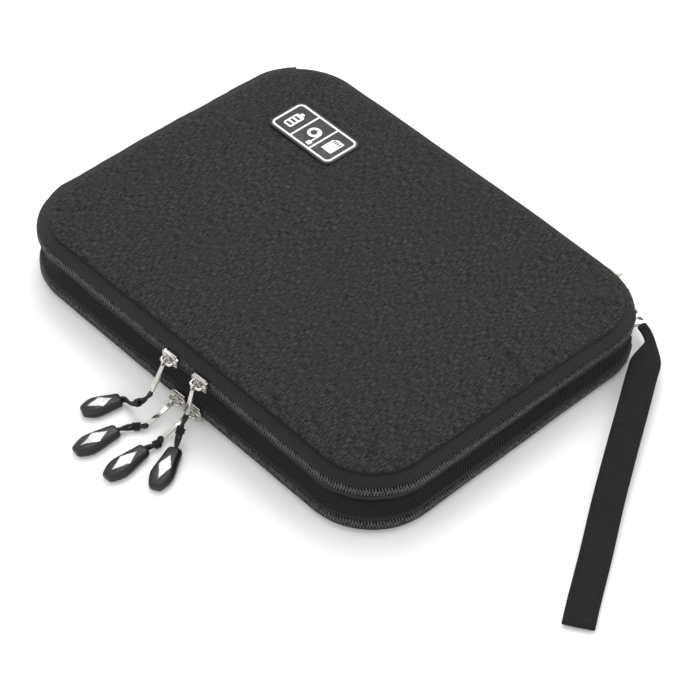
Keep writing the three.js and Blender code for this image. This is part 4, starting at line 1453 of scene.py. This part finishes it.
class POUCH_OT_strap(bpy.types.Operator):
    """Adds the doubled wrist strap with its stitching"""
    bl_idname = "pouch.strap"
    bl_label = "Wrist strap"

    def execute(self, context):
        sizes = context.scene.pouch_sizes
        layer = sizes.webbing
        route = spline([Vector(p) * MM for p in STRAP_ROUTE], 90)
        loop = self.centre_loop(route, layer)
        halves = [strap_half(sizes.strap_width, i / 90) for i in range(91)]
        halves = halves + [halves[-1]] * 5 + list(reversed(halves))
        rings = []
        for i, point in enumerate(loop):
            before, after = loop[max(0, i - 1)], loop[min(len(loop) - 1, i + 1)]
            tangent = (after - before).normalized()
            across = self.across[i]
            normal = tangent.cross(across).normalized()
            ring = []
            for k in range(16):
                a = 2 * math.pi * k / 16
                c, s = math.cos(a), math.sin(a)
                ring.append(point + across * halves[i] * math.copysign(abs(c) ** 0.25, c)
                            + normal * layer / 2 * math.copysign(abs(s) ** 0.5, s))
            rings.append(ring)
        band = Shell()
        band.rings(rings)
        step = path_length(loop) / (len(loop) - 1)
        band.cloth = [(i * step, halves[i] * math.cos(2 * math.pi * k / 16))
                      for i in range(len(rings)) for k in range(16)]
        made = band.piece("wrist_strap_webbing", "wrist_strap", finish("webbing"),
                          "strap_webbing", ["wrist_strap"])
        stitches = self.stitches(route, layer, sizes.strap_width)
        return {"FINISHED"}

    def centre_loop(self, route, layer):
        """Down the upper layer, round the far fold and back along the lower one."""
        upper, lower, sides = [], [], []
        for i, point in enumerate(route):
            before, after = route[max(0, i - 1)], route[min(len(route) - 1, i + 1)]
            tangent = (after - before).normalized()
            across = UP.cross(tangent).normalized()
            normal = tangent.cross(across).normalized()
            swell = 0.25 * MM * math.sin(math.pi * i / (len(route) - 1)) ** 2
            lift = layer * 0.53 + swell * 0.2
            upper.append(point + normal * lift)
            lower.append(point - normal * lift)
            sides.append(across)
        end_way = (route[-1] - route[-2]).normalized()
        normal = end_way.cross(sides[-1]).normalized()
        end_turn = [route[-1] + end_way * layer * 0.55 * math.sin(a)
                    + normal * layer * 0.53 * math.cos(a)
                    for a in (math.pi * k / 6 for k in range(1, 6))]
        self.across = sides + [sides[-1]] * 5 + list(reversed(sides))
        return upper + end_turn + list(reversed(lower))

    def stitches(self, route, layer, width):
        thread = Shell()
        total = path_length(route)
        for row in (-1, 1):
            for i in range(int(total / (2.9 * MM))):
                at = i * 2.9 * MM / total * (len(route) - 1)
                k = min(int(at), len(route) - 2)
                point = route[k].lerp(route[k + 1], at - k)
                tangent = (route[k + 1] - route[k]).normalized()
                across = UP.cross(tangent).normalized()
                normal = tangent.cross(across).normalized()
                edge = max(0.9 * MM, strap_half(width, at / (len(route) - 1)) - 1.9 * MM)
                base = point + across * row * edge + normal * layer * 1.06
                thread.tube([base - tangent * 0.95 * MM, base - tangent * 0.4 * MM,
                             base + tangent * 0.4 * MM, base + tangent * 0.95 * MM],
                            [0.1 * MM, 0.2 * MM, 0.2 * MM, 0.1 * MM], sides=6)
        return thread.piece("wrist_strap_stitching", "wrist_strap", finish("cord"),
                            "strap_webbing")


class POUCH_OT_fittings(bpy.types.Operator):
    """Adds the cloth tab, the ring and the clasp"""
    bl_idname = "pouch.fittings"
    bl_label = "Ring and clasp"

    def execute(self, context):
        for node in ("clasp_body", "clasp_gate", "swivel_eye"):
            coat_node(node, "nickel", bevel=0.35 * MM)
        self.ring()
        coat_node("ring_tab", "webbing", bevel=0.3 * MM)
        return {"FINISHED"}

    def ring(self):
        half, reach, wire = 7.6 * MM, 12 * MM, 0.9 * MM
        centre = 78 * MM
        corners = ((half - 1.6 * MM, 1.6 * MM, 1.6 * MM, -90),
                   (half - 5 * MM, reach - 5 * MM, 5 * MM, 0),
                   (5 * MM - half, reach - 5 * MM, 5 * MM, 90),
                   (1.6 * MM - half, 1.6 * MM, 1.6 * MM, 180))
        hang = math.radians(35)
        loop = []
        for cx, cy, radius, first in corners:
            for i in range(11):
                a = math.radians(first + 90 * i / 10)
                along = cy + radius * math.sin(a)
                loop.append(Vector((centre + cx + radius * math.cos(a),
                                    95.7 * MM + along * math.cos(hang),
                                    12.5 * MM - along * math.sin(hang))))
        ring = Shell()
        ring.tube(loop, wire, sides=14, closed=True, up=Vector((0, math.sin(hang),
                                                              math.cos(hang))))
        ring.piece("ring_wire", "d_ring", finish("nickel"), "nickel", ["d_ring"])


# ---- Inside ---------------------------------------------------------------------------------

def inner_slab(outline, levels, ripple, seed):
    """A padded inner sheet: closed rings up one side and down the other."""
    around = steps(0, outline.around, 4 * MM)[:-1]
    rings = []
    for inset, z, shrink in levels:
        ring = []
        for s in around:
            point, normal = outline.station(s)
            point = (point - normal * inset * MM) * shrink
            wave = noise.noise(Vector((point.x * 28, point.y * 28, seed))) * ripple * (
                1 if shrink < 1 else 0)
            point.z = (z + wave) * MM * outline.wedge(point.y)
            ring.append(point)
        rings.append(ring)
    shell = Shell()
    shell.rings(rings)
    shell.cloth = [(p.x, p.y) for p in shell.points]
    return shell


def both_sides(inset, low, high, edge=0.4):
    """Levels of a slab that goes out along its low side and back along its high side."""
    shares = [1 - k / 12 for k in range(12)]
    under = [(inset, low + edge, share) for share in reversed(shares) if share < 1]
    over = [(inset, high - edge, share) for share in shares if share < 1]
    rim = [(inset, low + edge * 0.5, 1), (inset - edge, (low + high) / 2, 1),
           (inset, high - edge * 0.5, 1)]
    return [(inset, low, s) for _, _, s in under] + rim + [(inset, high, s) for _, _, s in over]


class POUCH_OT_inside(bpy.types.Operator):
    """Adds the linings, the divider, its elastic bands and the pockets"""
    bl_idname = "pouch.inside"
    bl_label = "Inside"

    def execute(self, context):
        outline = Outline(context.scene.pouch_sizes)
        for name, node, body, inset, low, high in (
                ("base_lining", "bottom_lining", "bottom_cover", 12, 3.35, 4.45),
                ("divider_cloth", "divider_board", "middle_tray", 8.1, 15.3, 17.7),
                ("lid_lining_cloth", "lid_lining", "lid", 9.4, 32.3, 33.4)):
            shell = inner_slab(outline, both_sides(inset, low, high), 0.12, inset)
            made = shell.piece(name, body, finish("lining"), "lining_fabric", [node])
        for side in ("left", "middle", "right"):
            self.elastic(side)
        for node, body in (("bottom_mesh_pocket", "bottom_cover"),
                           ("tablet_pocket", "middle_tray"), ("lid_mesh_pocket", "lid")):
            self.pocket(node, body)
        self.hem()
        coat_node("pocket_zip", "coil", bevel=0.3 * MM)
        coat_node("pocket_slider", "nickel", bevel=0.3 * MM)
        coat_node("pocket_pull", "nickel", bevel=0.3 * MM)
        return {"FINISHED"}

    def sheet_between(self, low, high, columns, rows, rise):
        """A thin closed sheet over a box's plan. rise(x, y) gives the share of its height."""
        shell = Shell()
        thick = 0.45 * MM
        rings = []
        for i in range(rows + 1):
            y = low[1] + (high[1] - low[1]) * i / rows
            ramp = (y - low[1]) / (high[1] - low[1])
            top, bottom = [], []
            for k in range(columns + 1):
                x = low[0] + (high[0] - low[0]) * k / columns
                z = self.level(low, high, ramp) + rise(k / columns, ramp) * MM
                top.append(Vector((x, y, z)))
                bottom.append(Vector((x, y, z - thick)))
            rings.append(top + list(reversed(bottom)))
        shell.rings(rings)
        shell.cloth = [(p.x, p.y) for p in shell.points]
        return shell

    def level(self, low, high, ramp):
        """Boxes of wedged sheets are highest at the slider side and lowest at the spine."""
        sloping = (high[2] - low[2]) - 1.0 * MM
        return high[2] - 0.1 * MM - sloping * ramp

    def elastic(self, side):
        node = f"elastic_band_{side}"
        low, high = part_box(node)
        band = self.sheet_between(low, high, 8, 96,
                                  lambda x, y: -0.25 + 0.22 * abs(math.sin(math.pi * y * 6)))
        band.piece(node + "_strip", "middle_tray", finish("elastic"), "elastic", [node])
        bars = Shell()
        for i in range(7):
            ramp = 0.01 + 0.98 * i / 6
            y = low[1] + (high[1] - low[1]) * ramp
            z = self.level(low, high, ramp) + 0.05 * MM
            count = 9
            for k in range(count):
                x = low[0] + (high[0] - low[0]) * (k + 0.5) / count
                bars.tube([Vector((x - 0.8 * MM, y, z)), Vector((x, y, z + 0.1 * MM)),
                           Vector((x + 0.8 * MM, y, z))], 0.18 * MM, sides=5)
        bars.piece(node + "_stitches", "middle_tray", finish("cord"), "elastic")

    def pocket(self, node, body):
        low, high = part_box(node)
        net = self.sheet_between(low, high, 60, 40, lambda x, y: -0.2 + 0.12 * math.sin(
            9 * x + 5 * y) * math.sin(math.pi * x) * math.sin(math.pi * y))
        net.piece(node + "_net", body, finish("pocket mesh"), "pocket_mesh", [node])
        edge = Shell()
        for x in (low[0] + 1.2 * MM, high[0] - 1.2 * MM):
            path = [Vector((x, low[1] + (high[1] - low[1]) * t,
                            self.level(low, high, t) - 0.1 * MM))
                    for t in (i / 24 for i in range(25))]
            edge.tube(path, 1.15 * MM, sides=10, flat=0.4)
        edge.piece(node + "_binding", body, finish("elastic"), "elastic")

    def hem(self):
        low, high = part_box("bottom_pocket_hem")
        fold = Shell()
        path = [Vector((low[0] + (high[0] - low[0]) * i / 160, (low[1] + high[1]) / 2,
                        (low[2] + high[2]) / 2 + 0.1 * MM * math.sin(i * 1.3)))
                for i in range(161)]
        fold.tube(path, 2.6 * MM, sides=14, flat=0.22)
        fold.piece("pocket_hem_elastic", "bottom_cover", finish("elastic"), "elastic",
                   ["bottom_pocket_hem"])


# ---- Panel and registration -----------------------------------------------------------------

OPERATORS = (POUCH_OT_stage, POUCH_OT_cords, POUCH_OT_toggles, POUCH_OT_covers,
             POUCH_OT_gussets, POUCH_OT_zips, POUCH_OT_sliders, POUCH_OT_label,
             POUCH_OT_fittings, POUCH_OT_strap, POUCH_OT_inside)


class POUCH_PT_panel(bpy.types.Panel):
    """Lists the steps that make the pouch"""
    bl_idname = "POUCH_PT_panel"
    bl_label = "Cable pouch"
    bl_space_type = "VIEW_3D"
    bl_region_type = "UI"
    bl_category = "Pouch"

    def draw(self, context):
        column = self.layout.column(align=True)
        for step in OPERATORS:
            column.operator(step.bl_idname)


CLASSES = (PouchSizes, PouchColours, PouchStudio, *OPERATORS, POUCH_PT_panel)


def register():
    for made in CLASSES:
        bpy.utils.register_class(made)
    bpy.types.Scene.pouch_sizes = PointerProperty(type=PouchSizes)
    bpy.types.Scene.pouch_colours = PointerProperty(type=PouchColours)
    bpy.types.Scene.pouch_studio = PointerProperty(type=PouchStudio)


def unregister():
    del bpy.types.Scene.pouch_studio
    del bpy.types.Scene.pouch_colours
    del bpy.types.Scene.pouch_sizes
    for made in reversed(CLASSES):
        bpy.utils.unregister_class(made)


def main():
    register()
    for step in OPERATORS:
        group, name = step.bl_idname.split(".")
        getattr(getattr(bpy.ops, group), name)()


if __name__ == "__main__":
    main()
